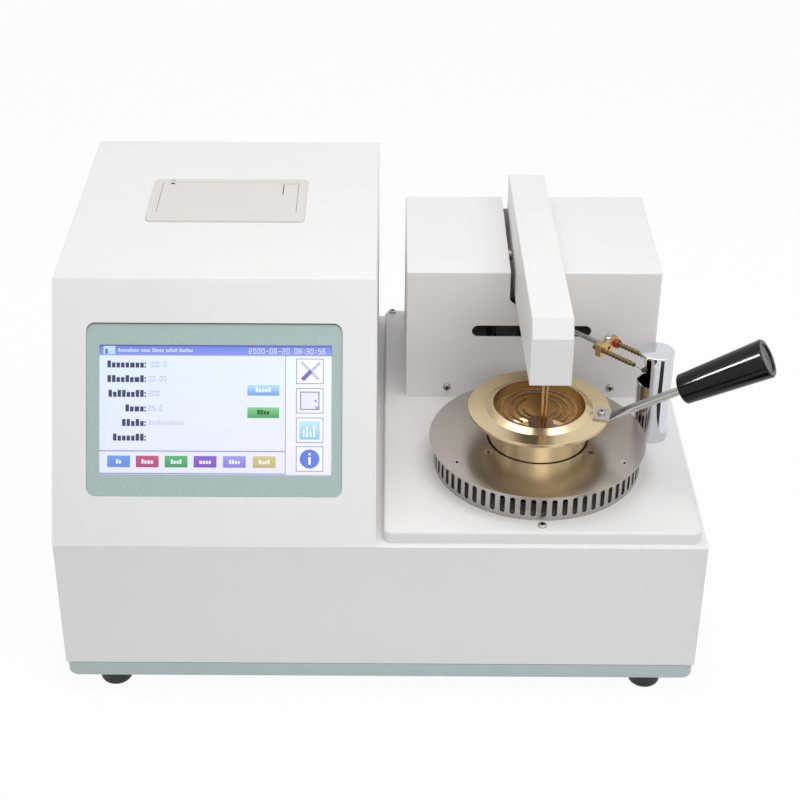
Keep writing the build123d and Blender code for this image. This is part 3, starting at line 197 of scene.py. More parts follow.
def place_node(tree, scale=(1, 1, 1), centre=None):
    """Object coordinates in metres, centred on a place and stretched."""
    coords = tree.nodes.new("ShaderNodeTexCoord")
    mapping = tree.nodes.new("ShaderNodeMapping")
    mapping.inputs["Scale"].default_value = scale
    if centre is not None:
        mapping.inputs["Location"].default_value = [-c * s for c, s in zip(centre, scale)]
    tree.links.new(coords.outputs["Object"], mapping.inputs["Vector"])
    return mapping.outputs["Vector"]


def grain(tree, vector, size, detail=3.0, rough=0.6):
    """Noise whose features are about size millimetres across."""
    noise = tree.nodes.new("ShaderNodeTexNoise")
    noise.inputs["Scale"].default_value = 1000.0 / size
    noise.inputs["Detail"].default_value = detail
    noise.inputs["Roughness"].default_value = rough
    tree.links.new(vector, noise.inputs["Vector"])
    return noise.outputs["Fac"]


def spread(tree, value, low, high):
    """A noise value, mostly between 0.3 and 0.7, turned into low to high."""
    node = tree.nodes.new("ShaderNodeMapRange")
    node.inputs["From Min"].default_value = 0.3
    node.inputs["From Max"].default_value = 0.7
    node.inputs["To Min"].default_value = low
    node.inputs["To Max"].default_value = high
    tree.links.new(value, node.inputs["Value"])
    return node.outputs["Result"]


def dulled(tree, shader, value, low, high):
    """Roughness from low to high by a noise value."""
    tree.links.new(spread(tree, value, low, high), shader.inputs["Roughness"])


def two_tone(tree, shader, value, first, second):
    """Two colours mixed by a 0 to 1 value."""
    mix = tree.nodes.new("ShaderNodeMix")
    mix.data_type = "RGBA"
    mix.inputs["A"].default_value = rgb(first)
    mix.inputs["B"].default_value = rgb(second)
    tree.links.new(value, mix.inputs["Factor"])
    tree.links.new(mix.outputs["Result"], shader.inputs["Base Color"])


def relief(tree, shader, height, depth):
    """Bump of about depth millimetres."""
    node = tree.nodes.new("ShaderNodeBump")
    node.inputs["Strength"].default_value = 1.0
    node.inputs["Distance"].default_value = depth / 1000
    tree.links.new(height, node.inputs["Height"])
    tree.links.new(node.outputs["Normal"], shader.inputs["Normal"])


# Corners nearer than WELD metres are one; faces under FLAT are one, edges over SHARP are rounded.
WELD = 2e-6
FLAT, SHARP = math.radians(0.4), math.radians(26.0)


def welded(node):
    """A solid as a bmesh whose faces share their corners."""
    part = bmesh.new()
    part.from_mesh(solids[node].data)
    bmesh.ops.remove_doubles(part, verts=part.verts, dist=WELD)
    return part


def eased(node, edge, segments=2):
    """A copy of a solid whose sharp edges are rounded by edge millimetres."""
    part = welded(node)
    bmesh.ops.dissolve_limit(part, angle_limit=FLAT, verts=part.verts, edges=part.edges)
    return finished(node + "_finish", part, edge, segments)


def finished(name, part, edge=0.0, segments=2):
    """A bmesh as an object at the origin, its edges rounded and its shading smooth."""
    mesh = bpy.data.meshes.new(name)
    for face in part.faces:
        face.smooth = True
    part.to_mesh(mesh)
    part.free()
    if "custom_normal" in mesh.attributes:
        mesh.attributes.remove(mesh.attributes["custom_normal"])
    mesh.materials.clear()
    piece = placed(name, mesh)
    if edge:
        bevel = piece.modifiers.new("edge", "BEVEL")
        bevel.width = edge / 1000
        bevel.segments = segments
        bevel.limit_method = "ANGLE"
        bevel.angle_limit = SHARP
        bevel.harden_normals = True
        settle(piece)
    else:
        mesh.set_sharp_from_angle(angle=SHARP)
    return piece


def settle(piece):
    """Turns what the modifiers make into the piece's own mesh."""
    graph = bpy.context.evaluated_depsgraph_get()
    made = bpy.data.meshes.new_from_object(piece.evaluated_get(graph))
    piece.modifiers.clear()
    piece.data = made


def fit(piece, material, body, slot, *stood_for):
    """Gives a piece its finish and body, and hides the solids it stands for; slot is not used."""
    piece.data.materials.clear()
    piece.data.materials.append(material)
    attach(piece, body)
    if stood_for:
        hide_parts(*stood_for)


def coat_node(node, material):
    """Gives a solid that is shown as it is its own finish."""
    solids[node].data.materials.clear()
    solids[node].data.materials.append(material)


rubber, tree, shader = finish_material("black_rubber", "1A1A1B", roughness=0.55)
relief(tree, shader, grain(tree, place_node(tree), 0.6), 0.05)
zinc, tree, shader = finish_material("zinc_plate", "B9B7B2", metallic=1.0, roughness=0.3)
dulled(tree, shader, grain(tree, place_node(tree), 1.5), 0.22, 0.42)
tray_paint, tree, shader = finish_material("grey_green_paint", "B8CAC8", roughness=0.45)
speck = grain(tree, place_node(tree), 0.7, detail=4)
two_tone(tree, shader, speck, "B2C5C2", "BFD0CD")
relief(tree, shader, speck, 0.04)
for name in ("foot_front_left", "foot_rear_left", "foot_front_right", "foot_rear_right"):
    fit(eased(name, 0.5, 3), rubber, "frame", "rubber", name)
fit(eased("foot_screws", 0.1), zinc, "frame", "zinc", "foot_screws")
fit(eased("base_plate", 0.5, 3), tray_paint, "frame", "grey_paint", "base_plate")

# Body shell: folded sheet steel in white powder coat, its bends rounded and its skin faintly
# grained; it drops over the tray and is held from below.

powder, tree, shader = finish_material("white_powder_coat", "EEEDED", roughness=0.42)
fleck = grain(tree, place_node(tree), 0.9, detail=4)
two_tone(tree, shader, grain(tree, place_node(tree), 60, detail=2), "EFEEEE", "EBEAEA")
dulled(tree, shader, fleck, 0.36, 0.5)
relief(tree, shader, fleck, 0.03)
fit(eased("body_shell", 0.9, 4), powder, "frame", "white_paint", "body_shell")

# Rear panel with fan, guard, mains inlet and rocker: a screwed sheet with bought-in parts behind
# and in its cut-outs, black mouldings and bright wire.

fit(eased("rear_panel", 0.3), powder, "frame", "white_paint", "rear_panel")
for name in ("rear_panel_screws", "fan_screws"):
    fit(eased(name, 0.12), zinc, "frame", "zinc", name)
black_moulding, tree, shader = finish_material("black_moulding", "161617", roughness=0.45)
skin = grain(tree, place_node(tree), 0.5)
relief(tree, shader, skin, 0.03)
dulled(tree, shader, skin, 0.38, 0.55)
for name, edge in (("fan_frame", 0.5), ("power_inlet", 0.3)):
    fit(eased(name, edge), black_moulding, "frame", "black_plastic", name)
fit(eased("fan_rotor", 0.2), black_moulding, "fan_rotor", "black_plastic", "fan_rotor")
fit(eased("power_rocker", 0.4), black_moulding, "rocker", "black_plastic", "power_rocker")
chrome, tree, shader = finish_material("chrome_plate", "D4D5D8", metallic=1.0, roughness=0.06)
dulled(tree, shader, grain(tree, place_node(tree), 9), 0.04, 0.1)
coat_node("fan_guard", chrome)

# Display surround: a grey-green textured moulding let into the leaned face and sunk a little; a
# black band along its top paints the shadow of the opening's edge.

bezel_paint, tree, shader = finish_material("bezel_sheet", "B4C6C4", roughness=0.5)
speck = grain(tree, place_node(tree), 1.1, detail=5)
two_tone(tree, shader, speck, "9DB3B0", "BCCECB")
relief(tree, shader, speck, 0.22)
# Pale grains of the texture that catch the light
sparkle = tree.nodes.new("ShaderNodeMapRange")
sparkle.inputs["From Min"].default_value = 0.63
sparkle.inputs["From Max"].default_value = 0.68
tree.links.new(grain(tree, place_node(tree), 1.3, detail=6, rough=0.75), sparkle.inputs["Value"])
bright = tree.nodes.new("ShaderNodeMix")
bright.data_type = "RGBA"
bright.inputs["B"].default_value = rgb("EEF6F3")
tree.links.new(shader.inputs["Base Color"].links[0].from_socket, bright.inputs["A"])
tree.links.new(sparkle.outputs["Result"], bright.inputs["Factor"])
tree.links.new(bright.outputs["Result"], shader.inputs["Base Color"])
dulled(tree, shader, speck, 0.35, 0.6)
fit(eased("display_bezel", 0.5, 3), bezel_paint, "frame", "bezel_plastic", "display_bezel")

# Painted shadow: a flat black band along the top edge and round its corners, narrower towards its
# ends
FACE_FOOT = 125.0
LEAN, RISE = 90.7, 153.0
FACE_L = math.hypot(LEAN, RISE)


def on_face(x, s, n):
    """A place on the leaned face: x, s up along the face from its foot, n out of it."""
    y = BODY_FRONT + (s * LEAN - n * RISE) / FACE_L
    return at(x, y, FACE_FOOT + (s * RISE + n * LEAN) / FACE_L)


SHADE_LINE_X, SHADE_LINE_HALF, SHADE_LINE_TOP, SHADE_LINE_CORNER = -110.6, 85.0, 148.2, 6.0
SHADE_LINE_WIDE, SHADE_LINE_THIN, SHADE_LINE_LEVELS = 0.55, 0.15, (-1.4, -0.7)
SHADE_LINE_ROOM = 0.02
outer = SHADE_LINE_CORNER - SHADE_LINE_ROOM
path = []
for side, start in ((1, 20), (-1, 90)):
    for degrees in range(start, start + 80, 10):
        a = math.radians(degrees)
        for radius in (outer, outer - SHADE_LINE_WIDE * max(SHADE_LINE_THIN, math.sin(a)) ** 2):
            x = SHADE_LINE_X + side * (SHADE_LINE_HALF - SHADE_LINE_CORNER) + radius * math.cos(a)
            path.append((x, SHADE_LINE_TOP - SHADE_LINE_CORNER + radius * math.sin(a)))
shade_line = bmesh.new()
low, high = [[shade_line.verts.new(on_face(x, s, n)) for x, s in path] for n in SHADE_LINE_LEVELS]
last = len(path) - 2
for a in range(0, last, 2):
    b = a + 2
    for level in (low, high):
        shade_line.faces.new((level[a], level[b], level[b + 1], level[a + 1]))
    for edge in (0, 1):
        shade_line.faces.new((low[a + edge], low[b + edge], high[b + edge], high[a + edge]))
for k in (0, last):
    shade_line.faces.new((low[k], low[k + 1], high[k + 1], high[k]))
bmesh.ops.recalc_face_normals(shade_line, faces=shade_line.faces)
# The band of painted shadow takes the black moulding finish
fit(finished("bezel_painted_shadow", shade_line), black_moulding, "frame", "black_plastic")

# Screen picture: thin tiles on the lit panel's glass, bare of words: unreadable strokes, plain
# numbers and simple signs. Its places are screen units from the upper left corner.

WINDOW_X, WINDOW_S, WINDOW_W, WINDOW_H = -109.8, 90.6, 154.3, 86.0
GLASS_N = -2.4
UNITS_W, UNITS_H = 234.0, 130.0
picture = bmesh.new()
tint = picture.loops.layers.float_color.new("tint")


def on_glass(u, v, n):
    """A place on the lit panel, n millimetres out of it."""
    x = WINDOW_X + (u / UNITS_W - 0.5) * WINDOW_W
    return on_face(x, WINDOW_S + (0.5 - v / UNITS_H) * WINDOW_H, GLASS_N + n)


def patch(corners, n, *colours):
    """A thin tile of screen points; one colour, or upper and lower, or one for each corner."""
    if len(colours) == 2:
        colours = (colours[0], colours[0], colours[1], colours[1])
    count = len(corners)
    shades = [rgb(colours[k % len(colours)]) for k in range(count)][::-1]
    top, base = ([(picture.verts.new(on_glass(u, v, level)), shade)
                  for (u, v), shade in zip(corners[::-1], shades)] for level in (n, 0))
    sides = [(base[k - 1], base[k], top[k], top[k - 1]) for k in range(count)]
    for outline in [top, base[::-1]] + sides:
        face = picture.faces.new([vert for vert, shade in outline])
        for loop, (vert, shade) in zip(face.loops, outline):
            loop[tint] = shade


def block(u0, v0, u1, v1, n, *colours):
    patch([(u0, v0), (u1, v0), (u1, v1), (u0, v1)], n, *colours)


def frame_line(u0, v0, u1, v1, w, n, colour):
    block(u0, v0, u1, v0 + w, n, colour)
    block(u0, v1 - w, u1, v1, n, colour)
    block(u0, v0, u0 + w, v1, n, colour)
    block(u1 - w, v0, u1, v1, n, colour)


# The bars of numbers and signs, as shares of their width and height, and which a sign has.
BARS = {"a": (0, 0, 1, 0.14), "b": (0.8, 0, 1, 0.5), "c": (0.8, 0.5, 1, 1),
        "d": (0, 0.86, 1, 1), "e": (0, 0.5, 0.2, 1), "f": (0, 0, 0.2, 0.5),
        "g": (0, 0.43, 1, 0.57), "point": (0.3, 0.8, 0.62, 0.96),
        "upper": (0.3, 0.25, 0.62, 0.41), "lower": (0.3, 0.7, 0.62, 0.86),
        "dash": (0, 0.45, 1, 0.57)}
SIGNS = {"0": "abcdef", "1": "bc", "2": "abged", "3": "abgcd", "4": "fgbc", "5": "afgcd",
         "6": "afgedc", "7": "abc", "8": "abcdefg", "9": "abcdfg", " ": "",
         ".": ["point"], ":": ["upper", "lower"], "-": ["dash"]}
SIGN_WIDE, SIGN_GAP, SMALL_GAP = 0.55, 0.2, 0.1
# Widths of tall, low and wide strokes, the gap after one and how far low ones start below.
STROKE = {"t": 0.5, "l": 0.5, "w": 0.66}
STROKE_GAP, STROKE_LOW = 0.16, 0.28


def word_width(pattern, high):
    return high * (sum(STROKE[kind] for kind in pattern) + STROKE_GAP * (len(pattern) - 1))


def strokes(u, v, high, pattern, n, colour):
    """A word as plain blocks, tall, low or wide, which no one can read; returns where it ends."""
    for kind in pattern:
        w = high * STROKE[kind]
        top = v if kind == "t" else v + high * STROKE_LOW
        block(u, top, u + w, v + high, n, colour)
        u += w + high * STROKE_GAP
    return u


def numbers(u, v, high, text, n, colour):
    """Plain numbers with their points, colons and dashes."""
    w = high * SIGN_WIDE
    for sign in text:
        for bar in SIGNS[sign]:
            left, top, right, low = BARS[bar]
            block(u + left * w, v + top * high, u + right * w, v + low * high, n, colour)
        u += w + high * (SMALL_GAP if sign in ":. " else SIGN_GAP)


# Levels of the tiles in millimetres over the glass, each kind above what it lies on
GROUND, PANE, BAR, SQUARE, KEY, RULE, SHINE = 0.05, 0.08, 0.1, 0.11, 0.12, 0.13, 0.14
INSIDE, INK, HINGE, MARK, LETTER, GRASP = 0.15, 0.16, 0.17, 0.18, 0.19, 0.2

# Ground, title bar and its words and clock
BAR_H, MENU_U = 10.5, 187.5
block(0, 0, UNITS_W, UNITS_H, GROUND, "DCEBFB", "E3ECFB", "E9E6FB", "E4E8FB")
block(MENU_U, BAR_H, UNITS_W, UNITS_H, PANE, "E9F2FC", "EAE9FB")
block(0, 0, UNITS_W, BAR_H, BAR, "6E86E6", "8B94EC")
block(0, 0, UNITS_W, 1.0, KEY, "5563C8")
block(4.2, 1.2, 16, 9.8, SHINE, "CFE8F4", "A9CFE6")
block(6, 4, 8.5, 9.2, MARK, "5F6FCF")
u = 19.0
for word in ("tlllltlll", "llll", "ttlll", "lltlt", "tlltll"):
    u = strokes(u, 3.4, 3.6, word, INK, "C9D2FA") + 1.7
numbers(150.4, 3.0, 5.6, "2000-06-20 08:30:56", INK, "DDE3FC")

# Labels, ended by a colon, and their values
LABELS = ((15.9, "tllllwll"), (30.5, "ttlltlwt"), (45.3, "tlttlltt"), (59.9, "tlwl"),
          (74.5, "ttltl"), (89.2, "tlllltt"))
LABEL_H, LABEL_END, VALUE_U = 6.9, 44.6, 49.5
COLON_L, COLON_R, DOT_SHARE = 45.4, 46.8, 0.22
for v, word in LABELS:
    strokes(LABEL_END - word_width(word, LABEL_H), v, LABEL_H, word, INK, "3A3C63")
    for top in (v + 0.3 * LABEL_H, v + 0.78 * LABEL_H):
        block(COLON_L, top, COLON_R, top + DOT_SHARE * LABEL_H, INK, "2A2C55")
for v, text in ((16.7, "100.0"), (31.3, "00 00"), (46.1, "200"), (60.7, "25.0")):
    numbers(VALUE_U, v, 5.2, text, INK, "BFC3D6")
strokes(VALUE_U, 75.3, 4.6, "tlltlllttlll", INK, "D3D6E6")

LARGE_H, SMALL_H = 4.8, 4.4


def key(u0, v0, u1, v1, upper, lower, ink, word, high):
    """A shaded key with a word of strokes in its middle."""
    block(u0, v0, u1, v1, KEY, upper, lower)
    block(u0, v0, u1, v0 + 1.0, SHINE, "E8F4FA" if high > SMALL_H else upper)
    strokes((u0 + u1 - word_width(word, high)) / 2, (v0 + v1 - high) / 2, high, word, MARK, ink)


# Two keys at the right, rules, and a row of small keys below
key(149, 38.6, 181, 50.2, "B9E6F6", "6C96E6", "EAF2FF", "tlllt", LARGE_H)
key(149, 61.0, 181, 72.8, "86D191", "3F9E58", "1D5230", "ttll", LARGE_H)
block(187.0, BAR_H, 187.7, 129.5, RULE, "8B90C6")
for v in (106.0, 128.6):
    block(0, v, 186.6, v + 0.9, RULE, "7F86C8")
SMALL_KEYS = ((8.0, "6AA0EE", "6D85DC", "tl"), (36.8, "C9557F", "A94C78", "tlwl"),
              (65.9, "5DB46F", "4A9560", "tllt"), (95.1, "8E63D2", "7B55B8", "wlll"),
              (124.6, "A096E8", "8A7CD6", "ttll"), (154.6, "CFC57E", "BDB16C", "tllt"))
for u, upper, lower, word in SMALL_KEYS:
    key(u, 111.2, u + 23.0, 122.8, upper, lower, "E9E9FA", word, SMALL_H)

# Menu squares: tools, door, columns, and a sign for information
MENU_L, MENU_R, MENU_H = 198, 225.6, 25.4
for v in (13.0, 42.6, 72.1, 101.0):
    block(MENU_L, v, MENU_R, v + MENU_H, SQUARE, "EEF1FC", "F3F2FD")
    frame_line(MENU_L, v, MENU_R, v + MENU_H, 0.8, RULE, "8D8FBE")
patch([(202, 17), (204.5, 15.5), (222, 33), (219.5, 35)], INK, "C3C6DC")
patch([(221, 16), (223, 18), (213, 27.4), (211.4, 25.6)], MARK, "B9BCD6")
patch([(211.6, 24), (214.4, 27), (206, 35.6), (202.6, 33)], GRASP, "6F68B4")
frame_line(202, 46.0, 221.6, 64.6, 1.2, INK, "8E90B8")
block(203.2, 47.2, 220.4, 63.4, INSIDE, "E3E4F3")
block(217, 54.4, 218.4, 56.4, MARK, "55588A")
block(217.2, 60.6, 220.4, 63.4, HINGE, "A6A8C8")
block(201.6, 75.6, 222, 94.2, INK, "BFE4F2", "8CC3E2")
for u, v in ((205.0, 84.5), (208.4, 81.5), (212.0, 86.0), (215.6, 80.0)):
    block(u, v, u + 1.6, 91.6, MARK, "F3FAFE")
DISC_U, DISC_V, DISC_W, DISC_H = 211.8, 113.7, 10.0, 9.6
around = [math.radians(a) for a in range(0, 360, 15)]
ring = [(DISC_U + DISC_W * math.cos(a), DISC_V + DISC_H * math.sin(a)) for a in around]
for k in range(0, len(ring), 2):
    patch([(DISC_U, DISC_V), ring[k], ring[k + 1], ring[(k + 2) % len(ring)]], INK, "5B79DC")
block(210.6, 111.8, 213.0, 119.4, LETTER, "F4F6FF")
block(210.6, 107.8, 213.0, 110.0, LETTER, "F4F6FF")
lit, tree, shader = finish_material("lit_picture", "FFFFFF", roughness=0.16)
shade = tree.nodes.new("ShaderNodeVertexColor")
shade.layer_name = "tint"
tree.links.new(shade.outputs["Color"], shader.inputs["Base Color"])
tree.links.new(shade.outputs["Color"], shader.inputs["Emission Color"])
shader.inputs["Emission Strength"].default_value = 0.18
dulled(tree, shader, grain(tree, place_node(tree), 0.4), 0.12, 0.2)
mesh = bpy.data.meshes.new("display_picture")
picture.to_mesh(mesh)
picture.free()
fit(placed("display_picture", mesh), lit, "frame", "screen")
panel_edge, tree, shader = finish_material("panel_edge", "5B6AA8", roughness=0.2)
dulled(tree, shader, grain(tree, place_node(tree), 0.6), 0.15, 0.3)
coat_node("display_panel", panel_edge)
board, tree, shader = finish_material("circuit_board", "1E5A34", roughness=0.4)
two_tone(tree, shader, grain(tree, place_node(tree), 3), "1B5230", "24663D")
coat_node("control_board", board)
coat_node("power_supply", zinc)

# Printer: a moulded frame clipped into the top of the console, with a hinged door, a tab to open
# it, the roll of paper in the well and a rubber platen behind.

printer, tree, shader = finish_material("printer_moulding", "DAD7D3", roughness=0.5)
fine = grain(tree, place_node(tree), 0.6)
relief(tree, shader, fine, 0.03)
two_tone(tree, shader, grain(tree, place_node(tree), 25, detail=2), "D9D6D2", "DDDAD6")
dulled(tree, shader, fine, 0.4, 0.55)
fit(eased("printer_frame", 0.35, 3), printer, "frame", "printer_plastic", "printer_frame")
fit(eased("printer_door", 0.2), printer, "printer_door", "printer_plastic", "printer_door")

# Painted shade of the hole at the door's corner: a black disc, let in, its sizes in metres
HOLE_SHADE_R, HOLE_SHADE_THICK, HOLE_SHADE_PROUD = 0.0014, 0.0003, 0.00004
hole_shade_place = at(-153.0, 75.2, 0)
hole_shade_place.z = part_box("printer_door")[1].z + HOLE_SHADE_PROUD - HOLE_SHADE_THICK / 2
hole_shade_disc = bmesh.new()
bmesh.ops.create_cone(hole_shade_disc, cap_ends=True, segments=32,
                      radius1=HOLE_SHADE_R, radius2=HOLE_SHADE_R, depth=HOLE_SHADE_THICK)
bmesh.ops.translate(hole_shade_disc, vec=hole_shade_place, verts=hole_shade_disc.verts)
fit(finished("printer_hole_shade", hole_shade_disc), black_moulding, "printer_door", "black_plastic")
paper, tree, shader = finish_material("thermal_paper", "EFECE4", roughness=0.7)
relief(tree, shader, grain(tree, place_node(tree, (0.1, 1, 1)), 0.3), 0.02)
coat_node("paper_roll", paper)
coat_node("platen_roller", rubber)

# Deck plate and mechanism housing: raised folded trays in the same white coat, held with
# cross-recess screws; the housing is slotted for the arm and for the igniter's rod.

fit(eased("deck_plate", 0.6, 3), powder, "frame", "white_paint", "deck_plate")
fit(eased("mechanism_cover", 0.7, 3), powder, "frame", "white_paint", "mechanism_cover")
for name in ("deck_screws", "mechanism_screws"):
    fit(eased(name, 0.12), zinc, "frame", "zinc", name)
# A near-black finish that paints the shadow at the bottom of screw recesses
painted_recess_shade, tree, shader = finish_material("painted_recess_shade", "161514", roughness=0.9)
shader.inputs["Specular IOR Level"].default_value = 0.1
relief(tree, shader, grain(tree, place_node(tree), 0.4), 0.02)
CROSS_SUNK = 0.00045


def heads(node, facing):
    """The middle of each screw head of a node, a little under its face."""
    part = welded(node)
    found, left = [], set(part.verts)
    while left:
        group, edge = set(), [left.pop()]
        while edge:
            vert = edge.pop()
            group.add(vert)
            near = [e.other_vert(vert) for e in vert.link_edges]
            edge += [v for v in near if v in left]
            left.difference_update(near)
        low = [min(v.co[k] for v in group) for k in range(3)]
        high = [max(v.co[k] for v in group) for k in range(3)]
        middle = Vector([(a + b) / 2 for a, b in zip(low, high)])
        for k in range(3):
            if facing[k]:
                middle[k] = high[k] if facing[k] > 0 else low[k]
        found.append(middle - Vector(facing) * CROSS_SUNK)
    part.free()
    return found


def node_group(name, inputs):
    """A geometry node group with named inputs, and the node they come from."""
    tree = bpy.data.node_groups.new(name, "GeometryNodeTree")
    tree.interface.new_socket("Geometry", in_out="OUTPUT", socket_type="NodeSocketGeometry")
    tree.interface.new_socket("Geometry", in_out="INPUT", socket_type="NodeSocketGeometry")
    for label, kind in inputs.items():
        tree.interface.new_socket(label, in_out="INPUT", socket_type="NodeSocket" + kind)
    return tree, tree.nodes.new("NodeGroupInput")


def grown(name, spots, tree, instances, material, sizes):
    """A piece made by a node group's instances, with the group's named inputs set."""
    real = tree.nodes.new("GeometryNodeRealizeInstances")
    paint = tree.nodes.new("GeometryNodeSetMaterial")
    paint.inputs["Material"].default_value = material
    end = tree.nodes.new("NodeGroupOutput")
    tree.links.new(instances, real.inputs[0])
    tree.links.new(real.outputs[0], paint.inputs[0])
    tree.links.new(paint.outputs[0], end.inputs[0])
    mesh = bpy.data.meshes.new(name)
    mesh.from_pydata(spots, [], [])
    piece = placed(name, mesh)
    maker = piece.modifiers.new("maker", "NODES")
    maker.node_group = tree
    for socket in tree.interface.items_tree:
        if socket.in_out == "INPUT" and socket.name in sizes:
            maker[socket.identifier] = sizes[socket.name]
    settle(piece)
    return piece


def painted_cross_shadows(name, spots, facing, half, width, deep, body):
    """Painted shadow of the cross recesses, one dark cross of two bars on each screw."""
    tree, start = node_group(name, {"Reach": "Float", "Width": "Float", "Depth": "Float",
                                    "Facing": "Vector"})
    join = tree.nodes.new("GeometryNodeJoinGeometry")
    for flip in (False, True):
        size = tree.nodes.new("ShaderNodeCombineXYZ")
        tree.links.new(start.outputs["Width" if flip else "Reach"], size.inputs[0])
        tree.links.new(start.outputs["Reach" if flip else "Width"], size.inputs[1])
        tree.links.new(start.outputs["Depth"], size.inputs[2])
        bar = tree.nodes.new("GeometryNodeMeshCube")
        tree.links.new(size.outputs[0], bar.inputs["Size"])
        tree.links.new(bar.outputs["Mesh"], join.inputs[0])
    place = tree.nodes.new("GeometryNodeInstanceOnPoints")
    turn = tree.nodes.new("FunctionNodeAlignRotationToVector")
    turn.axis = "Z"
    tree.links.new(start.outputs["Facing"], turn.inputs["Vector"])
    tree.links.new(start.outputs["Geometry"], place.inputs["Points"])
    tree.links.new(join.outputs[0], place.inputs["Instance"])
    tree.links.new(turn.outputs[0], place.inputs["Rotation"])
    sizes = {"Reach": 2 * half / 1000, "Width": width / 1000, "Depth": deep / 1000,
             "Facing": facing}
    piece = grown(name, spots, tree, place.outputs[0], painted_recess_shade, sizes)
    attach(piece, body)


UP, FRONT, BACK = (0, 0, 1), (0, -1, 0), (0, 1, 0)
PAN_CROSS = (1.95, 1.1, 0.96)  # half the reach, width and depth of a cross
# Painted shadow crosses in the recesses of the deck and housing screws
painted_cross_shadows("deck_screw_recess_shadows", heads("deck_screws", UP), UP, *PAN_CROSS, "frame")
low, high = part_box("mechanism_screws")
middle_y = (low.y + high.y) / 2
front_heads = [spot for spot in heads("mechanism_screws", FRONT) if spot.y < middle_y]
back_heads = [spot for spot in heads("mechanism_screws", BACK) if spot.y > middle_y]
painted_cross_shadows("housing_front_recess_shadows", front_heads, FRONT, *PAN_CROSS, "frame")
painted_cross_shadows("housing_back_recess_shadows", back_heads, BACK, *PAN_CROSS, "frame")
dull_zinc, tree, shader = finish_material("dull_zinc_sheet", "6E6C69", metallic=0.8, roughness=0.5)
dulled(tree, shader, grain(tree, place_node(tree), 2.5), 0.42, 0.6)
for name in ("mechanism_base", "arm_brackets", "arm_motor", "igniter_bracket"):
    coat_node(name, dull_zinc)
coat_node("igniter_motor", black_moulding)

# Lifting arm: a folded white cover on a shaft between two brackets; its black block carries the
# thermometer probe and the stem of the flash electrode over the cup.

fit(eased("arm_cover", 0.5, 3), powder, "arm", "white_paint", "arm_cover")
steel, tree, shader = finish_material("brushed_steel", "A8A39C", metallic=1.0, roughness=0.34)
brush = grain(tree, place_node(tree, (0.03, 1, 1)), 0.5, detail=5)
dulled(tree, shader, brush, 0.26, 0.44)
relief(tree, shader, brush, 0.02)
coat_node("arm_shaft", steel)
fit(eased("probe_block", 0.5), black_moulding, "arm", "black_plastic", "probe_block")
rod_brass, tree, shader = finish_material("drawn_brass", "B79A68", metallic=1.0, roughness=0.24)
draw = grain(tree, place_node(tree, (1, 1, 0.04)), 0.35, detail=4)
two_tone(tree, shader, grain(tree, place_node(tree, (1, 1, 0.3)), 4), "BDA070", "A98A5A")
dulled(tree, shader, draw, 0.18, 0.34)
fit(eased("temperature_probe", 0.2), rod_brass, "arm", "brass", "temperature_probe")
fit(eased("electrode_stem", 0.1), rod_brass, "arm", "brass", "electrode_stem")
strip, tree, shader = finish_material("tinted_strip", "B08C74", metallic=1.0, roughness=0.35)
two_tone(tree, shader, grain(tree, place_node(tree), 5), "B9957C", "7E5C49")
dulled(tree, shader, grain(tree, place_node(tree), 0.5), 0.26, 0.44)
fit(eased("flash_electrode", 0.2), strip, "arm", "copper_strip", "flash_electrode")

# Igniter: a brass block clamped to a steel rod that swings across the cup; two screwed terminals
# in insulating sleeves reach on to a glow coil, and a bright screw holds the rod.

satin_rod, tree, shader = finish_material("satin_rod", "A9A7A4", metallic=1.0, roughness=0.28)
dulled(tree, shader, grain(tree, place_node(tree), 0.6), 0.2, 0.36)
fit(eased("igniter_hub", 0.3), satin_rod, "igniter", "steel", "igniter_hub")
fit(eased("igniter_rod", 0.2), satin_rod, "igniter", "steel", "igniter_rod")
block_brass, tree, shader = finish_material("milled_brass", "CDAE79", metallic=1.0, roughness=0.32)
mill = grain(tree, place_node(tree, (1, 0.05, 1)), 0.3, detail=4)
dulled(tree, shader, mill, 0.24, 0.42)
relief(tree, shader, mill, 0.02)
fit(eased("igniter_block", 0.25), block_brass, "igniter", "brass", "igniter_block")
fit(eased("igniter_screw", 0.1), chrome, "igniter", "chrome", "igniter_screw")
sleeve, tree, shader = finish_material("red_sleeve", "A83A2C", roughness=0.5)
two_tone(tree, shader, grain(tree, place_node(tree), 1.2), "B2402F", "963226")
fit(eased("igniter_sleeves", 0.15), sleeve, "igniter", "red_sleeve", "igniter_sleeves")
aged_brass, tree, shader = finish_material("aged_brass", "86774A", metallic=1.0, roughness=0.34)
two_tone(tree, shader, grain(tree, place_node(tree), 1.6), "8C7C4C", "6A5F3C")
dulled(tree, shader, grain(tree, place_node(tree), 0.4), 0.26, 0.45)
coat_node("igniter_terminals", aged_brass)
coil_wire, tree, shader = finish_material("coil_wire", "8E8A86", metallic=1.0, roughness=0.3)
two_tone(tree, shader, grain(tree, place_node(tree), 0.8), "9A9692", "75716D")
coat_node("igniter_coil", coil_wire)
PIVOT_X, PIVOT_Y, ROD_Z = 109.6, 45.6, 190.0
PARK = math.radians(-45.0)


def swung(along, aside):
    """A place on the parked igniter, along its terminals from the pivot and aside of it."""
    x = PIVOT_X + along * math.cos(PARK) - aside * math.sin(PARK)
    y = PIVOT_Y + along * math.sin(PARK) + aside * math.cos(PARK)
    return at(x, y, ROD_Z)


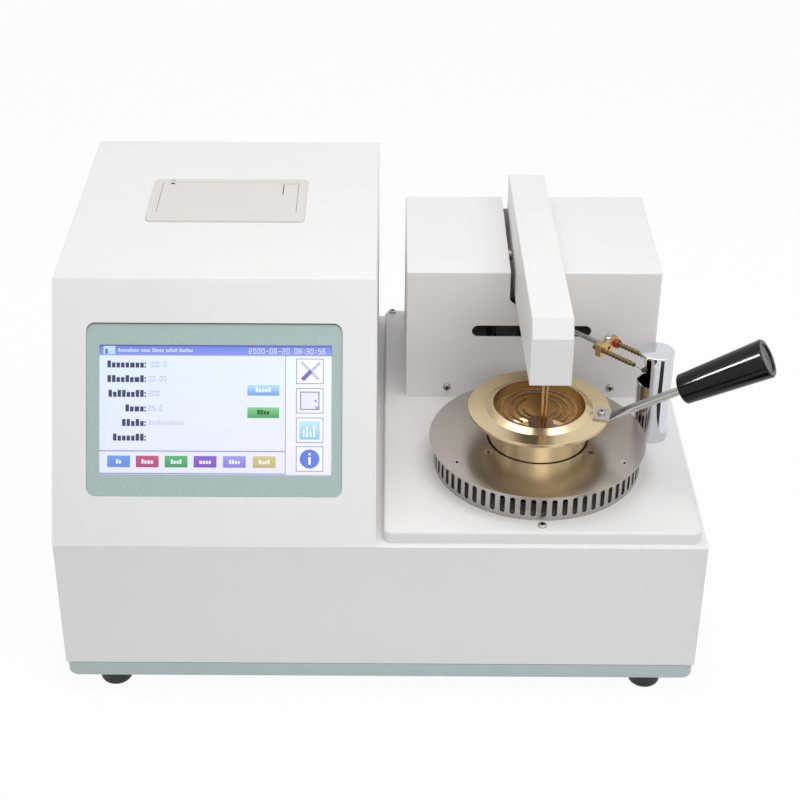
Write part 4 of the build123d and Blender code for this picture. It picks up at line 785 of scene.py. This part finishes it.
def thread(name, first, count, pitch, radius, wire):
    """The ridges of a coarse thread along a terminal, from the place first on."""
    tree, start = node_group(name, {"Turns": "Int", "Pitch": "Float", "Radius": "Float",
                                    "Wire": "Float"})
    line = tree.nodes.new("GeometryNodeMeshLine")
    line.mode = "OFFSET"
    step = tree.nodes.new("ShaderNodeCombineXYZ")
    tree.links.new(start.outputs["Pitch"], step.inputs[2])
    tree.links.new(step.outputs[0], line.inputs["Offset"])
    tree.links.new(start.outputs["Turns"], line.inputs["Count"])
    loop = tree.nodes.new("GeometryNodeCurvePrimitiveCircle")
    loop.inputs["Resolution"].default_value = 20
    tree.links.new(start.outputs["Radius"], loop.inputs["Radius"])
    section = tree.nodes.new("GeometryNodeCurvePrimitiveCircle")
    section.inputs["Resolution"].default_value = 6
    tree.links.new(start.outputs["Wire"], section.inputs["Radius"])
    sweep = tree.nodes.new("GeometryNodeCurveToMesh")
    tree.links.new(loop.outputs["Curve"], sweep.inputs["Curve"])
    tree.links.new(section.outputs["Curve"], sweep.inputs["Profile Curve"])
    place = tree.nodes.new("GeometryNodeInstanceOnPoints")
    tree.links.new(line.outputs[0], place.inputs["Points"])
    tree.links.new(sweep.outputs[0], place.inputs["Instance"])
    sizes = {"Turns": count, "Pitch": pitch / 1000, "Radius": radius / 1000, "Wire": wire / 1000}
    piece = grown(name, [], tree, place.outputs[0], aged_brass, sizes)
    along = Matrix.Rotation(PARK, 4, "Z") @ Matrix.Rotation(math.pi / 2, 4, "Y")
    piece.data.transform(Matrix.Translation(first) @ along)
    for face in piece.data.polygons:
        face.use_smooth = True
    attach(piece, "igniter")


THREAD_END, THREAD_PITCH, THREAD_R, RIDGE_R = 100.6, 2.9, 1.42, 0.62
for side, first, aside in (("front", 74.0, -4.3), ("rear", 76.4, 10.9)):
    turns = int((THREAD_END - first) / THREAD_PITCH)
    thread("terminal_thread_" + side, swung(first, aside), turns, THREAD_PITCH, THREAD_R, RIDGE_R)

# Shield: a plated brass tube standing on the deck, with a pressed-in cap held by a rivet and a
# notch at one side, in which the glow coil parks.

coat_node("shield_tube", chrome)
fit(eased("shield_cap", 0.3, 3), chrome, "frame", "chrome", "shield_cap")
fit(eased("shield_rivet", 0.4), chrome, "frame", "steel", "shield_rivet")

# Heater: a ceramic board with posts, a slotted steel ring, a dark inner can, a cast hot plate and
# a turned steel disk on top, fixed with countersunk screws.


def round_tangent(tree, shader, centre, amount):
    """Brush marks that run round a place, as turning leaves them."""
    coords = tree.nodes.new("ShaderNodeTexCoord")
    offset = tree.nodes.new("ShaderNodeVectorMath")
    offset.operation = "SUBTRACT"
    offset.inputs[1].default_value = centre
    across = tree.nodes.new("ShaderNodeVectorMath")
    across.operation = "CROSS_PRODUCT"
    across.inputs[0].default_value = (0, 0, 1)
    unit = tree.nodes.new("ShaderNodeVectorMath")
    unit.operation = "NORMALIZE"
    tree.links.new(coords.outputs["Object"], offset.inputs[0])
    tree.links.new(offset.outputs[0], across.inputs[1])
    tree.links.new(across.outputs[0], unit.inputs[0])
    tree.links.new(unit.outputs[0], shader.inputs["Tangent"])
    shader.inputs["Anisotropic"].default_value = amount


RING_GAP = 314.0  # millimetres between the rings of a wave of scale one


def rings(tree, centre, pitch):
    """Turned grooves about pitch millimetres apart."""
    wave = tree.nodes.new("ShaderNodeTexWave")
    wave.wave_type = "RINGS"
    wave.rings_direction = "Z"
    wave.inputs["Scale"].default_value = RING_GAP / pitch
    wave.inputs["Distortion"].default_value = 1.5
    wave.inputs["Detail"].default_value = 2.0
    tree.links.new(place_node(tree, centre=centre), wave.inputs["Vector"])
    return wave.outputs["Fac"]


CUP_AXIS = at(109.0, -68.0, 0)
ceramic, tree, shader = finish_material("ceramic_board", "8F897C", roughness=0.8)
relief(tree, shader, grain(tree, place_node(tree), 0.8), 0.05)
coat_node("heater_base", ceramic)
iron, tree, shader = finish_material("heater_iron", "0B0A0A", roughness=0.95)
shader.inputs["Specular IOR Level"].default_value = 0.1
relief(tree, shader, grain(tree, place_node(tree), 1.0), 0.1)
for name in ("heater_plate", "heater_liner"):
    coat_node(name, iron)
ring_steel, tree, shader = finish_material("ring_steel", "B5B2AE", metallic=1.0, roughness=0.3)
ring_brush = grain(tree, place_node(tree, (1, 1, 0.1)), 0.5)
dulled(tree, shader, ring_brush, 0.22, 0.4)
fit(eased("heater_ring", 0.15), ring_steel, "frame", "steel", "heater_ring")
disk_steel, tree, shader = finish_material("turned_disk", "BAB4AD", metallic=1.0, roughness=0.24)
groove = rings(tree, CUP_AXIS, 0.5)
dulled(tree, shader, groove, 0.2, 0.34)
relief(tree, shader, groove, 0.006)
round_tangent(tree, shader, CUP_AXIS, 0.6)
fit(eased("heater_cover", 0.2), disk_steel, "frame", "steel", "heater_cover")
fit(eased("heater_screws", 0.1), chrome, "frame", "zinc", "heater_screws")
SMALL_CROSS = (1.7, 0.9, 0.96)
# Painted shadow crosses in the recesses of the disk screws
painted_cross_shadows("disk_screw_recess_shadows", heads("heater_screws", UP), UP, *SMALL_CROSS, "frame")

# Cup: the standard open brass cup, turned from bar, with a flange, a bevelled lip and a filling
# groove; a strap, a flattened tube and a black grip make the handle, held by one screw.

cup_brass, tree, shader = finish_material("turned_brass", "DCC8A4", metallic=1.0, roughness=0.22)
groove = rings(tree, CUP_AXIS, 0.4)
two_tone(tree, shader, grain(tree, place_node(tree), 30, detail=2), "DECBA8", "D2BC92")
dulled(tree, shader, groove, 0.16, 0.26)
relief(tree, shader, groove, 0.006)
round_tangent(tree, shader, CUP_AXIS, 0.35)
fit(eased("test_cup", 0.15), cup_brass, "cup", "brass", "test_cup")
fit(eased("handle_strap", 0.15), ring_steel, "cup", "steel", "handle_strap")
fit(eased("handle_screw", 0.12), zinc, "cup", "zinc", "handle_screw")
# Painted shadow cross in the recess of the strap screw
painted_cross_shadows("strap_screw_recess_shadow", heads("handle_screw", UP), UP, *SMALL_CROSS, "cup")
rod_chrome, tree, shader = finish_material("satin_chrome", "B8B6B2", metallic=1.0, roughness=0.16)
dulled(tree, shader, grain(tree, place_node(tree), 0.8), 0.12, 0.22)
coat_node("handle_rod", rod_chrome)
grip, tree, shader = finish_material("black_grip", "070708", roughness=0.12)
shader.inputs["Specular IOR Level"].default_value = 0.22
dulled(tree, shader, grain(tree, place_node(tree), 12), 0.08, 0.16)
coat_node("handle_grip", grip)

# A strip light that only the grip receives draws the thin streak along it.
GRIP_MIDDLE, GRIP_WAY = at(227.6, -97.6, 223.7), Vector((0.827, -0.206, 0.522))
STRIP_LONG, STRIP_WIDE, STRIP_WATTS = 0.5, 0.08, 12.0
strip_place = at(-234, -290, 554)
light = bpy.data.lights.new("grip_strip", "AREA")
light.shape = "RECTANGLE"
light.size, light.size_y, light.energy = STRIP_LONG, STRIP_WIDE, STRIP_WATTS
lamp = placed("grip_strip", light)
back = (strip_place - GRIP_MIDDLE).normalized()
along = (GRIP_WAY - back * GRIP_WAY.dot(back)).normalized()
axes = Matrix((along, back.cross(along), back)).transposed().to_4x4()
lamp.matrix_world = Matrix.Translation(strip_place) @ axes
lamp.visible_camera = False
receivers = bpy.data.collections.new("grip_light")
receivers.objects.link(solids["handle_grip"])
lamp.light_linking.receiver_collection = receivers
